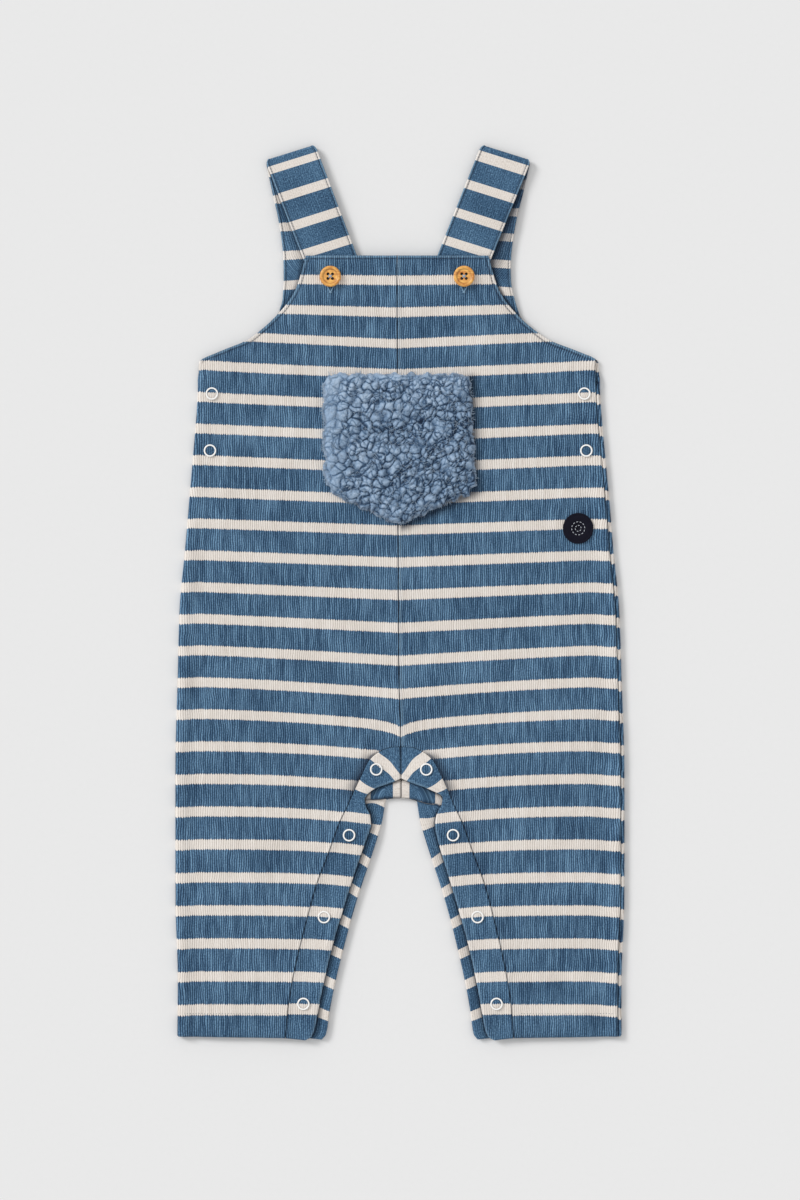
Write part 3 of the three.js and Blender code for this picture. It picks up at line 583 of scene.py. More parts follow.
def back_panel(side):
    """Middle points of a back half, and their place in the cloth. Rows go up from the hem
    to the armhole, up the strap, over its fold and down to its end under the bib."""
    turns = side > 0
    at = row_places(back_band, "seam", row_step)
    seam = beside(band_path(back_band, "seam", at), seam_half)
    seam[:, 0] = np.maximum(seam[:, 0], seam_half)
    fan = hem_fan * (1 - ease(at, 0, 8))
    inner, outer = seam[::-1], side_points(np.maximum(hem, seam[:, 1] + fan), turns)[::-1]
    share = np.full(len(at), 1.0 if turns else 0.0)
    up_y = np.concatenate([steps(seam[0, 1] + row_step, underarm + 3), [underarm + 3]])
    spread = hem_fan * ease(-up_y, -hip_fan, -seam[0, 1])
    body = side_points(up_y + spread, turns)
    body[:, 0] -= 0.6 * (1 - turn_share(body[:, 1]))
    inner = np.concatenate([inner, np.stack([np.full(len(up_y), seam_half), up_y], axis=1)])
    outer = np.concatenate([outer, body])
    share = np.concatenate([share, turn_share(body[:, 1]) * turns])
    height = np.full(len(share), back_height)

    rise = steps(0, 13, 0.19)
    fold = {end: np.array(strap_fold[end], float) for end in strap_fold}
    across = unit(fold["outer"] - fold["inner"])
    upward = np.array([-across[1], across[0]])
    bend = strap_turn + cloth / 2
    turn = np.linspace(0, np.pi, 15)
    down = np.linspace(0, 1, strap_front_rows + 1)[1:]
    grown = np.linspace(0, 1, 15)[:-1]
    ends = {}
    for end in ("inner", "outer"):
        climb = band_path(strap_rows, end, rise)
        climb[:, 0] += strap_bow[side] * ridge(climb[:, 1] - 187, 11) * (end == "outer")
        last = np.array([strap_rows[f"{end}_x"][-1], strap_rows[f"{end}_y"][-1]])
        start = fold[end] - bend * upward
        neck = last + (start - last) * grown[:, None]
        over = start + (strap_turn * np.sin(turn))[:, None] * upward
        front = start + (np.array(strap_end[end]) - start) * down[:, None]
        ends[end] = np.concatenate([climb, neck, over, front])
        crest = (start + strap_turn * upward - ends[end]) @ upward
        near = 1 - np.clip(crest / strap_rounding, 0, 1)
        corner = strap_rounding * (1 - np.sqrt(1 - 0.9 * near**2)) * (np.arange(len(crest)) >= len(climb))
        ends[end] += corner[:, None] * across * (1 if end == "inner" else -1)
    ends["inner"][:, 0] = np.maximum(ends["inner"][:, 0], seam_half)
    over_height = back_height + strap_turn * (1 - np.cos(turn))
    level = [np.full(len(rise) + len(grown), back_height), over_height, np.full(len(down), back_height + 2 * strap_turn)]
    inner = np.concatenate([inner, ends["inner"]])
    outer = np.concatenate([outer, ends["outer"]])
    share = np.concatenate([share, np.zeros(len(ends["inner"]))])
    height = np.concatenate([height, *level])
    points, in_cloth = panel_rows(
        inner, outer, share, 1, lambda x, y: np.broadcast_to(height[:, None], x.shape).copy(),
        np.full(len(share), back_height), back_columns,
    )

    rows = len(points)
    strap_start = rows - len(ends["inner"])
    front_start = rows - len(down) - len(turn) // 2
    marks = strap_marks[side]
    stripes = body_stripes(side * points[..., 0], points[..., 1] + 1.4)
    fold_line = (points[..., :2] - fold["inner"]) @ upward
    back_marks, front_marks = np.array(marks["back"]), np.array(marks["front"])
    tilt = points[..., 1] + 0.06 * (points[..., 0] - 75)
    climb = np.interp(tilt, back_marks[:, 1], back_marks[:, 0])
    below = np.interp(-fold_line, front_marks[:, 1], front_marks[:, 0])
    stripes[strap_start:] = climb[strap_start:]
    stripes[front_start:] = below[front_start:]
    blend_rows = (points[..., 1] > underarm) & (np.arange(rows)[:, None] < strap_start)
    stripes[blend_rows] = climb[blend_rows]
    cords = (in_cloth - in_cloth[:, -1:] * (np.arange(rows)[:, None] >= strap_start) / 2) / rib["cord"]
    cords[:strap_start] = (points[:strap_start, :, :1] @ [1.0]) / rib["cord"]
    # The strap's own knit shows as a fine grain, and its edges are turned in: a groove runs
    # inside each one, with painted shade in it and a painted highlight on the edge beyond it.
    # Painted shadow darkens the part that comes out beside the front strap, lying deep under
    # it, and the back beside the bib's armhole.
    to_edge = np.minimum(in_cloth, in_cloth[:, -1:] - in_cloth)
    on_strap = (np.arange(rows)[:, None] >= strap_start + len(rise) // 3) * 1.0
    groove = ridge(to_edge - strap_inset, 0.4) * on_strap
    hemmed = ridge(to_edge - 0.75, 0.55) * on_strap
    on_front = (np.arange(rows)[:, None] >= front_start) * 1.0
    clear = 1 - 0.8 * on_front - 0.45 * on_strap * (1 - on_front)
    down_run = unit(np.array(strap_end["outer"]) - fold["outer"])
    from_strap = (points[..., :2] - fold["outer"]) @ np.array([-down_run[1], down_run[0]])
    from_bib = points[..., 0] - half_width(points[..., 1])
    shadow = strap_shadow[side]
    shadowed = np.maximum(1 - ease(from_strap, 0, shadow["reach"]), 1 - ease(from_bib, 0, 3.5))
    shadowed = shadowed * (points[..., 1] > underarm) * (1 - on_front)
    lit_edge = ridge(to_edge - 0.55, 0.55) * on_strap * (1 - shadowed)
    shade = 0.7 * groove + shadow["depth"] * shadowed * (1 - groove) - 0.5 * lit_edge
    cords = cords + 400 * (side < 0)
    lift = strap_lift["whole"] * ease(points[..., 1], 219, 252)
    lift = lift + strap_lift["edge"] * ease(from_strap, 0.3, 6) * ease(points[..., 1], 160, 185) * (1 - on_front)
    points[..., 2] += lift * (np.arange(rows)[:, None] >= strap_start)
    return points, np.stack([cords, stripes], axis=-1), clear, shade, 0.35 * groove - 0.3 * hemmed


HALVES = {"left": 1, "right": -1}
strap_paths = {}
for end, side in HALVES.items():
    middle, place, clear, shade, press = back_panel(side)
    middle = laid_half(middle, side)
    strap_paths[end] = middle
    back = cloth_shell(
        f"{end}_back", middle, cloth, place, body_rib, (0.8, 0.8, 0.35, 0.6), clear, shade, press,
    )
    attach(back, "root")
    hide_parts(f"back_{end}")

# Front
# Two halves of one layer, sewn down the centre front, with the bib's top and armholes
# turned in and topstitched. The right half turns under at the side to meet the back.

bib_lift = 1.5
crown = 1.2
edge_inset = 2.1
side_roll = {"height": 1.0, "inset": 4.2, "wide": 3.6, "ditch": 0.45, "ditch_inset": 13, "ditch_wide": 5}
placket = {"x": 110, "wide": 3.4, "height": 0.5, "top": 156, "foot": 66}
seam_ridge = {"height": 0.5, "wide": 2.4}
# Soft troughs, and ridges where the depth is negative, given one by one; +X is the wearer's left.
folds = table(
    "from_x from_y to_x to_y depth spread",
    (-25, -110, -9, -84, 0.9, 3.3), (30, -112, 11, -90, 0.7, 4), (-36, -122, -64, -140, 0.5, 7),
    (40, -118, 66, -133, 0.6, 7), (-58, -150, -92, -206, 0.5, 9), (46, -144, 82, -198, 0.4, 8),
    (-112, 126, -88, 84, 0.45, 7), (108, 130, 90, 96, 0.4, 6), (-104, -20, -66, -82, 0.4, 9),
    (98, -34, 58, -66, 0.35, 8), (-52, 178, -78, 138, -0.35, 6), (50, 176, 74, 150, -0.3, 6),
    (3, 168, 6, 200, 0.3, 3.5), (-4, 196, -9, 160, -0.3, 3.5), (20, -40, 34, -84, -0.3, 7),
    (-18, -30, -30, -78, 0.3, 7), (118, 40, 128, -30, 0.4, 5), (-126, 20, -118, -50, 0.4, 5),
    (-84, -232, -60, -282, 0.35, 7), (96, -222, 112, -280, 0.35, 8), (-118, -240, -104, -286, -0.3, 6),
)
front_band = table(
    "row seam_x seam_y edge_x edge_y rise left_out",
    (0, 0, -99.8, 0, -120.3, 0.9, 0), (1, 5.9, -100, 3.6, -122, 1, 0), (2, 13, -102.4, 9.1, -124.2, 1, 0),
    (3, 18.5, -106.3, 14.6, -126, 1, 0), (4, 21.8, -110.5, 19.2, -128.4, 1, 1),
    (5, 23.9, -115.1, 22.3, -131.3, 1, 3.6), (6, 26.6, -120.6, 23.8, -134.8, 0.9, 4.2),
    (7, 30.2, -128.1, 22.8, -139.1, 0.8, 4), (8, 34.5, -137.8, 20.2, -143.9, 0.6, 2.8),
    (9, 39.8, -148.9, 19.6, -150.6, 0.4, 2.4), (10, 47.5, -170.3, 24.9, -166.6, 0.4, 0.6),
    (11, 54.6, -189.2, 31.9, -187.4, 0.4, 0), (12, 60.1, -209.3, 37.9, -207.2, 0.4, 0),
    (13, 65, -228.8, 43.7, -227.5, 0.4, 0), (14, 69.2, -248.3, 48.4, -247.7, 0.4, 0),
    (15, 72.4, -268.5, 52.6, -268.8, 0.4, 0), (15.6, 73.4, -280.5, 54.8, -281, 0.4, 0),
    (15.8, 73.8, -284.8, 56, -285.4, 0.4, 0), (15.92, 74, -287.4, 57.9, -288.6, 0.4, 0),
    (16, 74.1, -289, 61.5, -290.4, 0.4, 0),
)


def troughs(x, y, rows):
    """Depth of soft troughs: a bell across each, fading towards its ends."""
    depth = np.zeros(np.shape(x))
    for k in range(len(rows["depth"])):
        run = np.array([rows["to_x"][k] - rows["from_x"][k], rows["to_y"][k] - rows["from_y"][k]])
        length = np.hypot(*run)
        along = ((x - rows["from_x"][k]) * run[0] + (y - rows["from_y"][k]) * run[1]) / length
        off = ((x - rows["from_x"][k]) * run[1] - (y - rows["from_y"][k]) * run[0]) / length
        middle = (along - length / 2) / (length / 2 + rows["spread"][k])
        depth += rows["depth"][k] * np.maximum(0, 1 - middle**2) * np.exp(-((off / rows["spread"][k]) ** 2))
    return depth


def waves(x, y, length, count, seed):
    """Smooth unevenness: a mean of sines in different directions."""
    chance = np.random.default_rng(seed)
    total = np.zeros(np.shape(x))
    for _ in range(count):
        angle, phase = chance.uniform(0, 2 * np.pi, 2)
        run = (x * np.cos(angle) + y * np.sin(angle)) / (length * chance.uniform(0.7, 1.4))
        total += np.sin(2 * np.pi * run + phase)
    return total / np.sqrt(count)


band_seam = band_path(front_band, "seam", np.linspace(0, 16, 130))
pocket = {
    "top": 142.3, "corner": 66.2, "point": 43.2, "left_top": 49, "left_foot": 47.4, "right_top": 47.8,
    "right_foot": 50.6, "pile": 6.8, "edge": 3.2, "round": 7,
}
pocket_shadow = {"depth": 0.85, "reach": 2.7}
pocket_side = np.array([
    (pocket["right_top"], pocket["top"] - 3), (pocket["right_foot"], pocket["corner"]), (3, pocket["point"]),
])


def path_distance(path, x, y):
    """Distance of points from a line through the points of a path."""
    start, run = path[:-1], np.diff(path, axis=0)
    off = np.stack([x[..., None] - start[:, 0], y[..., None] - start[:, 1]], axis=-1)
    along = np.clip((off * run).sum(-1) / (run**2).sum(-1), 0, 1)
    return np.linalg.norm(off - along[..., None] * run, axis=-1).min(axis=-1)


def seam_distance(x, y):
    """Distance of points of the pattern from the front snap band's seam."""
    return path_distance(band_seam, np.abs(np.asarray(x, float)), np.asarray(y, float))


def front_at(x, y):
    """Height of the middle of the front's wall, with x towards the wearer's left: a crowned
    sheet with a roll inside each side, a ridge on each placket's edge and along the seams,
    the listed folds and a little unevenness."""
    x, y = np.broadcast_arrays(np.asarray(x, float), np.asarray(y, float))
    reach = half_width(y)
    across = np.minimum(1, np.abs(x) / reach)
    lift = bib_lift * ease(y, underarm + 5, strap_end["outer"][1] - 2)
    swell = crown * (1 - across**4) * (1 - 0.5 * ease(y, underarm, bib_top))
    to_side = reach - np.abs(x)
    roll = side_roll["height"] * ridge(to_side - side_roll["inset"], side_roll["wide"])
    roll = roll - side_roll["ditch"] * ridge(to_side - side_roll["ditch_inset"], side_roll["ditch_wide"])
    roll = roll * (1 - 0.75 * ease(y, 40, 90)) * (1 - ease(y, underarm - 25, underarm)) * (1 + 0.25 * waves(x, y, 60, 3, 21))
    flap = ease(y, placket["foot"] - 12, placket["foot"]) * (1 - ease(y, placket["top"] - 14, placket["top"]))
    edge = placket["height"] * ridge(np.abs(x) - placket["x"] - 0.5 * waves(x, y, 50, 3, 22), placket["wide"]) * flap
    seam = seam_ridge["height"] * ridge(x, seam_ridge["wide"]) * ease(y, -104, -84)
    if y.min() < -80:
        seam = seam + seam_ridge["height"] * 1.3 * ridge(seam_distance(x, y), seam_ridge["wide"]) * ease(-y, 96, 108)
    uneven = 0.14 * waves(x, y, 34, 5, 23) + 0.07 * waves(x, y, 13, 5, 24)
    return front_height + lift + swell + roll + edge + seam + uneven - troughs(x, y, folds)


def to_topstitch(x, y):
    """Distance of points from the topstitching of the bib's top and armholes."""
    top = np.abs(bib_top - edge_inset - y) + 99 * (np.abs(x) > half_width(y))
    slope = (half_width(y + 1) - half_width(y - 1)) / 2
    side = np.abs(half_width(y) - np.abs(x) - edge_inset * np.hypot(1, slope)) / np.hypot(1, slope)
    side = side + 99 * (y < underarm)
    return np.minimum(top, side)


def front_panel(side):
    """Middle points of a front half, their place in the cloth, how much painted shade (below 0,
    painted highlight) and how pressed in each is: rows from the bib's top down the centre
    seam, then down the snap band's seam, fanned out a little."""
    turns = side < 0
    at = row_places(front_band, "seam", row_step)
    seam = beside(band_path(front_band, "seam", at), seam_half)
    seam[:, 0] = np.maximum(seam[:, 0], seam_half)
    top = bib_top - np.array([0, 0.12, 0.35, 0.7, 1.1, 1.5, 1.9, 2.3, 2.7, 3.2, 3.8, 4.6])
    down_y = np.concatenate([top, steps(top[-1] - 1, seam[0, 1] + 0.6)])
    inner = np.concatenate([np.stack([np.full(len(down_y), seam_half), down_y], axis=1), seam])
    along = np.concatenate([np.zeros(len(down_y)), at])
    fan = hem_fan * ease(-inner[:, 1], -hip_fan, -seam[0, 1]) * (1 - ease(along, 0, 9))
    outer = side_points(np.maximum(hem, inner[:, 1] + fan), turns)
    share = turn_share(outer[:, 1]) * turns
    points, in_cloth = panel_rows(
        inner, outer, share, -1, lambda x, y: front_at(side * x, y),
        np.full(len(share), front_height), front_columns,
    )
    x, y = points[..., 0], points[..., 1]
    flat_x = np.minimum(x, points[:, front_columns - 1, 0][:, None])
    stripes = body_stripes(side * flat_x, y)
    cords = (inner[:, :1] + in_cloth) / rib["cord"] + 200 * turns
    # Painted shade in the topstitch groove, down the valley beside the crotch's seam and along the seams over their
    # dark line, heavier on the wearer's right of the centre seam; painted shadow beside the pocket; painted highlight
    # along the bib's top and armholes and on the wearer's left of the centre seam.
    groove = ridge(to_topstitch(x, y), 0.5)
    from_seam = seam_distance(x, y)
    valley_shade = 0.6 * ridge(from_seam - 0.5, 1.0) + 0.6 * ridge(from_seam - 2, 3.4)
    valley_shade = valley_shade * ease(-y, 101, 107) * (1 - ease(-y, 124, 138))
    seam_line_shade = (0.95 if side < 0 else 0.35) * ridge(x, 0.55) + 0.6 * ridge(from_seam, 0.45) * ease(-y, 112, 125)
    shadow_beside_pocket = pocket_shadow["depth"] * ridge(path_distance(pocket_side, side * x, y), pocket_shadow["reach"])
    slope = (half_width(y + 1) - half_width(y - 1)) / 2
    to_armhole = (half_width(y) - x) / np.hypot(1, slope) + 99 * (y < underarm)
    lit_edge = 0.35 * ridge(np.minimum(to_armhole, bib_top - y) - 0.9, 0.8)
    if side > 0:
        lit_edge = lit_edge + 0.5 * ridge(x - 1.0, 0.5)
    shade = np.clip(0.55 * groove + valley_shade + seam_line_shade + shadow_beside_pocket - lit_edge, -0.6, 0.92)
    return points, np.stack([cords, stripes], axis=-1), shade, 0.3 * groove


for end, side in HALVES.items():
    middle, place, shade, press = front_panel(side)
    front = cloth_shell(
        f"{end}_front", laid_half(middle, side), cloth, place, body_rib, (0.75, 0.75, 0.3, 0.6),
        shade=shade, press=press,
    )
    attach(front, "root")
    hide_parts(f"front_{end}")

# Snap bands
# A doubled strip of the same rib down each inner leg, back and front, the front's on top.
# The front's curves round the crotch; the back's rolls up past it there and folds over.

band_cloth = 2
band_columns = 24
band_step = 1.0
roll_columns = 36
roll_step = 0.6
roll_fold = {-1: ((10.2, -132.6), (21, -134)), 1: ((10.2, -134), (27, -138.6))}
roll_end = {-1: (18.2, 20.4), 1: (20.8, 23)}
leg_shift = {-1: -0.05, 1: 0.18}
fold_shift = {-1: 0.0, 1: 0.32}
edge_lift = 1.5


def band_grid(rows, at, point_at, columns=band_columns, out=0):
    """Points of a band: rows at places along it, columns across it from seam to edge, with
    the edge moved out by a distance of its own."""
    seam = beside(band_path(rows, "seam", at), -seam_half)
    edge = band_path(rows, "edge", at)
    edge[:, 0] += out
    breadth = np.linalg.norm(edge - seam, axis=1)
    share = spaced(breadth, columns, (0.12, 0.35, 0.7)) / breadth[:, None]
    x = seam[:, :1] * (1 - share) + edge[:, :1] * share
    y = seam[:, 1:] * (1 - share) + edge[:, 1:] * share
    return np.stack([np.maximum(x, seam_half), y, point_at(at[:, None], share, x, y)], axis=-1), share


def below_fold(x, y, side):
    """How far a point lies below the line where the crotch's roll folds over the leg."""
    start, end = np.array(roll_fold[side])
    slope = (end[1] - start[1]) / (end[0] - start[0])
    return (start[1] + slope * np.maximum(x - start[0], -2) - y) / np.hypot(1, slope)


def back_band_height(at, share, x, y, side):
    """Flat, but for a roll that crests past the front's edge and ends in a fold. Down the
    leg the free edge stands off the surface a little."""
    crest = ease(share, 0.3, 0.62) - 0.5 * ease(share, 0.7, 1)
    tall = table_at(back_band, "roll", at, key="row") * (1 - ease(below_fold(x, y, side), -0.3, 0.7))
    return band_cloth / 2 + tall * crest + edge_lift * ease(share, 0.5, 1) * ease(-y, 138, 160)


front_band_edge = {}
for side in HALVES.values():
    at = np.linspace(0, 16, 120)
    edge = band_path(front_band, "edge", at)
    front_band_edge[side] = edge + np.outer(table_at(front_band, "left_out", at, key="row") * (side > 0), [1, 0])

for end, side in HALVES.items():
    at = row_places(back_band, "edge", roll_step)
    points, share = band_grid(
        back_band, at, lambda at, share, x, y: back_band_height(at, share, x, y, side), roll_columns,
    )
    x, y = points[..., 0], points[..., 1]
    seam_stripe = table_at(back_band, "seam_stripe", at, key="row")[:, None]
    edge_stripe = table_at(back_band, "edge_stripe", at, key="row")[:, None]
    leg = seam_stripe + (edge_stripe - seam_stripe) * share + leg_shift[side] * (1 - ease(-y, 140, 175))
    below = below_fold(x, y, side)
    leg = leg + fold_shift[side] * ridge(below, 2)
    rolled = 15 + 0.5 * ease(x, 1.5, 12) + 0.5 * ease(x, *roll_end[side])
    stripes = rolled + (leg - rolled) * (below > 0.1)
    cords = share * 20 / rib["cord"] + 90 * (side < 0)
    # Painted shadow beside the front band's edge, a dark line of painted shade where the roll folds over the leg, and
    # the centre seam's dark line.
    beside_front = path_distance(front_band_edge[side], x, y)
    shade = 0.85 * ridge(beside_front, 0.9) + 0.35 * ridge(beside_front, 2.6)
    shade = np.maximum(shade, 0.97 * ridge(below - 0.1, 0.6) * (x < 27) * (y < -130))
    shade = np.maximum(shade, 0.75 * ridge(x, 0.5))
    clear = 0.4 * ease(below, 0, 6)
    band = cloth_shell(
        f"{end}_back_band", laid_half(points, side), band_cloth, np.stack([cords, stripes], axis=-1),
        body_rib, (0.35, 0.9, 0.35, 1.0), clear, np.clip(shade, 0, 0.95),
    )
    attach(band, "root")
    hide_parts(f"back_band_{end}")

crotch_stripes = {
    "slope": 0.83, "bow": 0.8, "at": (-91, -121.6, -149.5), "numbers": (14, 15, 16),
    "dip": 1.2, "rise": {-1: 3.2, 1: 4.2}, "rise_end": 8.5,
}
flap_swell = 0.9


def front_band_height(at, share, x, y):
    """Level with the front at the seam, rising towards the free edge, and puffed up where
    the flaps curve round the crotch."""
    rise = table_at(front_band, "rise", at, key="row")
    puff = flap_swell * np.sin(np.pi * np.clip(share, 0, 1)) * ease(at, 1, 4) * (1 - ease(at, 7, 10))
    lip = 0.25 * ridge((share - 0.86) / 0.07, 1) * ease(at, 8, 10)
    return front_at(x, y) - (band_cloth - cloth) / 2 + rise * share * share + puff + lip


def front_band_stripes(x, y):
    """As on the body down the leg. In the crotch's arc the stripes slope down to the centre:
    their number depends on the height less the slope times the distance across. They dip
    at the centre and bow outside it."""
    away = np.abs(x)
    rise = np.where(x > 0, crotch_stripes["rise"][1], crotch_stripes["rise"][-1])
    bow = crotch_stripes["bow"] * ridge(away - 17, 7)
    bow = bow + crotch_stripes["dip"] - rise * ease(away, 0, crotch_stripes["rise_end"])
    level = y - crotch_stripes["slope"] * away + bow
    heights, numbers = np.array(crotch_stripes["at"]), np.array(crotch_stripes["numbers"])
    steep = (numbers[1] - numbers[0]) / (heights[1] - heights[0])
    slack = (numbers[2] - numbers[1]) / (heights[2] - heights[1])
    sloping = numbers[1] + np.where(level > heights[1], steep, slack) * (level - heights[1])
    return sloping + (body_stripes(x, y) + 0.03 - sloping) * ease(-y, 120, 138)


for end, side in HALVES.items():
    at = row_places(front_band, "edge", band_step)
    out = table_at(front_band, "left_out", at, key="row") * (side > 0)
    points, share = band_grid(
        front_band, at, lambda at, share, x, y: front_band_height(at, share, side * x, y), out=out,
    )
    stripes = front_band_stripes(side * points[..., 0], points[..., 1])
    cords = points[..., 0] / rib["cord"] + 0.4
    clear = 0.2 + 0.5 * ease(at, 6.5, 9.5)[:, None]
    from_seam, to_edge = share * 20.5, (1 - share) * 20.5
    # A faint dark line inside the free edge and the seams' dark lines, with painted shade heavier on the wearer's right
    # of the centre seam, and a painted highlight along the free edge.
    shade = 0.25 * ridge(to_edge - 2.4, 0.6) + 0.6 * ridge(from_seam, 0.4) * ease(-points[..., 1], 108, 120)
    shade = np.maximum(shade, (0.9 if side < 0 else 0.3) * ridge(points[..., 0], 0.5))
    shade = shade - 0.35 * ridge(to_edge - 0.9, 0.8)
    band = cloth_shell(
        f"{end}_front_band", laid_half(points, side), band_cloth, np.stack([cords, stripes], axis=-1),
        body_rib, (0.3, 1.0, 0.4, 1.0), clear, shade,
    )
    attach(band, "root")
    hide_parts(f"front_band_{end}")

# Snaps
# Open ring caps of white enamelled metal, two at each side and four on each front band.
# Their prongs go through the cloth, which swells up inside the ring.

ring = {"outer": 4.05, "inner": 3.05, "height": 0.75}
ring_sides = 48
side_rings = [("upper", 120.6, 129.4), ("lower", 121.9, 92.4)]
band_rings = [("crotch", 2.9, 0.435), ("knee", 9.44, 0.425), ("calf", 12.1, 0.49), ("hem", 14.9, 0.48)]
pip_swell = 0.55

enamel, tree, shader = new_material("white_enamel")
speck = noise(tree, add_node(tree, "ShaderNodeTexCoord").outputs["Object"], 900)
wire(tree, shader, {
    "Base Color": blend_colours(tree, speck, from_srgb(246, 245, 242), from_srgb(254, 253, 251)),
    "Roughness": span(tree, speck, 0.3, 0.7, 0.28, 0.4),
    "Coat Weight": 0.4,
    "Coat Roughness": 0.2,
})


def turned_points(profile, sides):
    """Points of a profile of radii and heights turned about the Z axis, row by row."""
    angle = np.arange(sides) * 2 * np.pi / sides
    radius, height = np.array(profile, float).T
    x, y = radius[:, None] * np.cos(angle), radius[:, None] * np.sin(angle)
    return np.stack([x, y, np.broadcast_to(height[:, None], x.shape)], axis=-1)


def turned_quads(rows, sides, start=0, closed=False):
    """Quads between the rings of a turned shape; closed joins the last ring to the first."""
    ring_of = np.arange(rows if closed else rows - 1)[:, None]
    k = np.arange(sides)
    after = (k + 1) % sides
    low, high = ring_of * sides, ((ring_of + 1) % rows) * sides
    return start + np.stack([low + k, low + after, high + after, high + k], axis=-1).reshape(-1, 4)


def ring_section():
    """Round-cornered section of the ring cap: an ellipse squared up by the power 0.6."""
    angle = np.linspace(0, 2 * np.pi, 16, endpoint=False)
    middle, half = (ring["outer"] + ring["inner"]) / 2, (ring["outer"] - ring["inner"]) / 2
    swell = lambda value: np.sign(value) * np.abs(value) ** 0.6
    return np.stack([middle + half * swell(np.cos(angle)), ring["height"] / 2 * (1 + swell(np.sin(angle)))], axis=1)


def on_cloth(local, middle, normal, thickness):
    """Points in a piece's own frame, moved so that +Z runs along the cloth's normal and
    z = 0 lies on its skin."""
    normal = unit(np.array(normal, float))
    first = unit(np.cross([0, 1, 0], normal))
    second = np.cross(normal, first)
    foot = np.array(middle, float) + normal * thickness / 2
    return foot + local[..., :1] * first + local[..., 1:2] * second + local[..., 2:] * normal


def front_normal(x, y, step=4):
    """Normal of the front at a point."""
    slope_x = (front_at(x + step, y) - front_at(x - step, y)) / (2 * step)
    slope_y = (front_at(x, y + step) - front_at(x, y - step)) / (2 * step)
    return unit(np.array([-slope_x, -slope_y, 1.0]))


def front_band_point(side, at, share):
    """Point of the front band's middle at a place along it and a share of its breadth."""
    at = np.array([float(at)])
    seam, edge = band_path(front_band, "seam", at)[0], band_path(front_band, "edge", at)[0]
    x, y = (seam + (edge - seam) * share) * [side, 1]
    return np.array([x, y, front_band_height(at, share, x, y)[0]])


def band_normal(side, at, share):
    """Normal of the front band at a point."""
    along = front_band_point(side, at + 0.3, share) - front_band_point(side, at - 0.3, share)
    across = front_band_point(side, at, share + 0.15) - front_band_point(side, at, share - 0.15)
    normal = unit(np.cross(across, along))
    return normal * np.sign(normal[2])


def snap(name, side, middle, normal, thickness, stripes_at):
    """Ring cap, with the pip of cloth inside it as a dome of pip_swell (1 - r^2)."""
    middle = middle.copy()
    middle[0] = laid_x(middle[0], middle[1])
    section = ring_section()
    band = turned_points(section, ring_sides) + [0, 0, seat]
    radius = np.linspace(0.02, 1, 9)
    dome = np.stack([radius * (ring["inner"] + 0.25), seat + 0.1 + pip_swell * (1 - radius**2)], axis=1)
    foot = np.array([[dome[-1, 0], seat * 0.2], [dome[0, 0], seat * 0.2]])
    pip = turned_points(np.concatenate([dome, foot]), ring_sides)
    parts = [on_cloth(part.reshape(-1, 3), middle, normal, thickness) for part in (band, pip)]
    points = np.concatenate(parts)
    ring_faces = turned_quads(len(section), ring_sides, closed=True)
    pip_faces = turned_quads(len(dome) + 2, ring_sides, start=len(parts[0]), closed=True)
    faces = np.concatenate([ring_faces, pip_faces[:, ::-1]])
    pattern_x = points[:, 0] - (laid_x(side * 60.0, middle[1]) - side * 60)
    uv = np.stack([np.abs(pattern_x) / rib["cord"], stripes_at(pattern_x, points[:, 1])], axis=1)
    kinds = np.concatenate([np.zeros(len(ring_faces)), np.ones(len(pip_faces))])
    # Painted shade round the edge of the pip, in the ring's inner crevice.
    rim = np.tile(np.concatenate([0.6 * ease(radius, 0.78, 0.98), [1, 1]])[:, None], ring_sides)
    values = {"shade": np.concatenate([np.zeros(len(parts[0])), rim.ravel()]), "cords": np.full(len(points), 0.6)}
    piece = make_piece(name, points, faces, [enamel, body_rib], uv=uv, values=values, face_material=kinds)
    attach(piece, "root")
    return piece


for end, side in HALVES.items():
    for place, x, y in side_rings:
        middle = np.array([side * x, y, front_at(side * x, y)])
        cap = snap(f"{end}_side_snap_{place}", side, middle, front_normal(side * x, y), cloth, body_stripes)
        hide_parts(f"snap_side_{place}_{end}")
    for place, at, share in band_rings:
        middle, normal = front_band_point(side, at, share), band_normal(side, at, share)
        cap = snap(f"{end}_{place}_snap", side, middle, normal, band_cloth, front_band_stripes)
        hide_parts(f"snap_{place}_{end}")

# Topstitching
# Small running stitches in thread near the cloth's blue. They hold the turned edges of the
# straps, the bib and the armholes, the seam round the crotch, and the hems.

stitch = {"pitch": 1.9, "length": 1.1, "radius": 0.16, "bow": 0.08}
hem_line = -273


def thread_material(name, dark, light):
    """Twisted cotton thread, speckled between two colours."""
    material, tree, shader = new_material(name)
    twist = noise(tree, add_node(tree, "ShaderNodeTexCoord").outputs["Object"], 2500, 2.0)
    wire(tree, shader, {
        "Base Color": blend_colours(tree, twist, from_srgb(*dark), from_srgb(*light)),
        "Roughness": 0.75,
        "Sheen Weight": 0.15,
    })
    return material


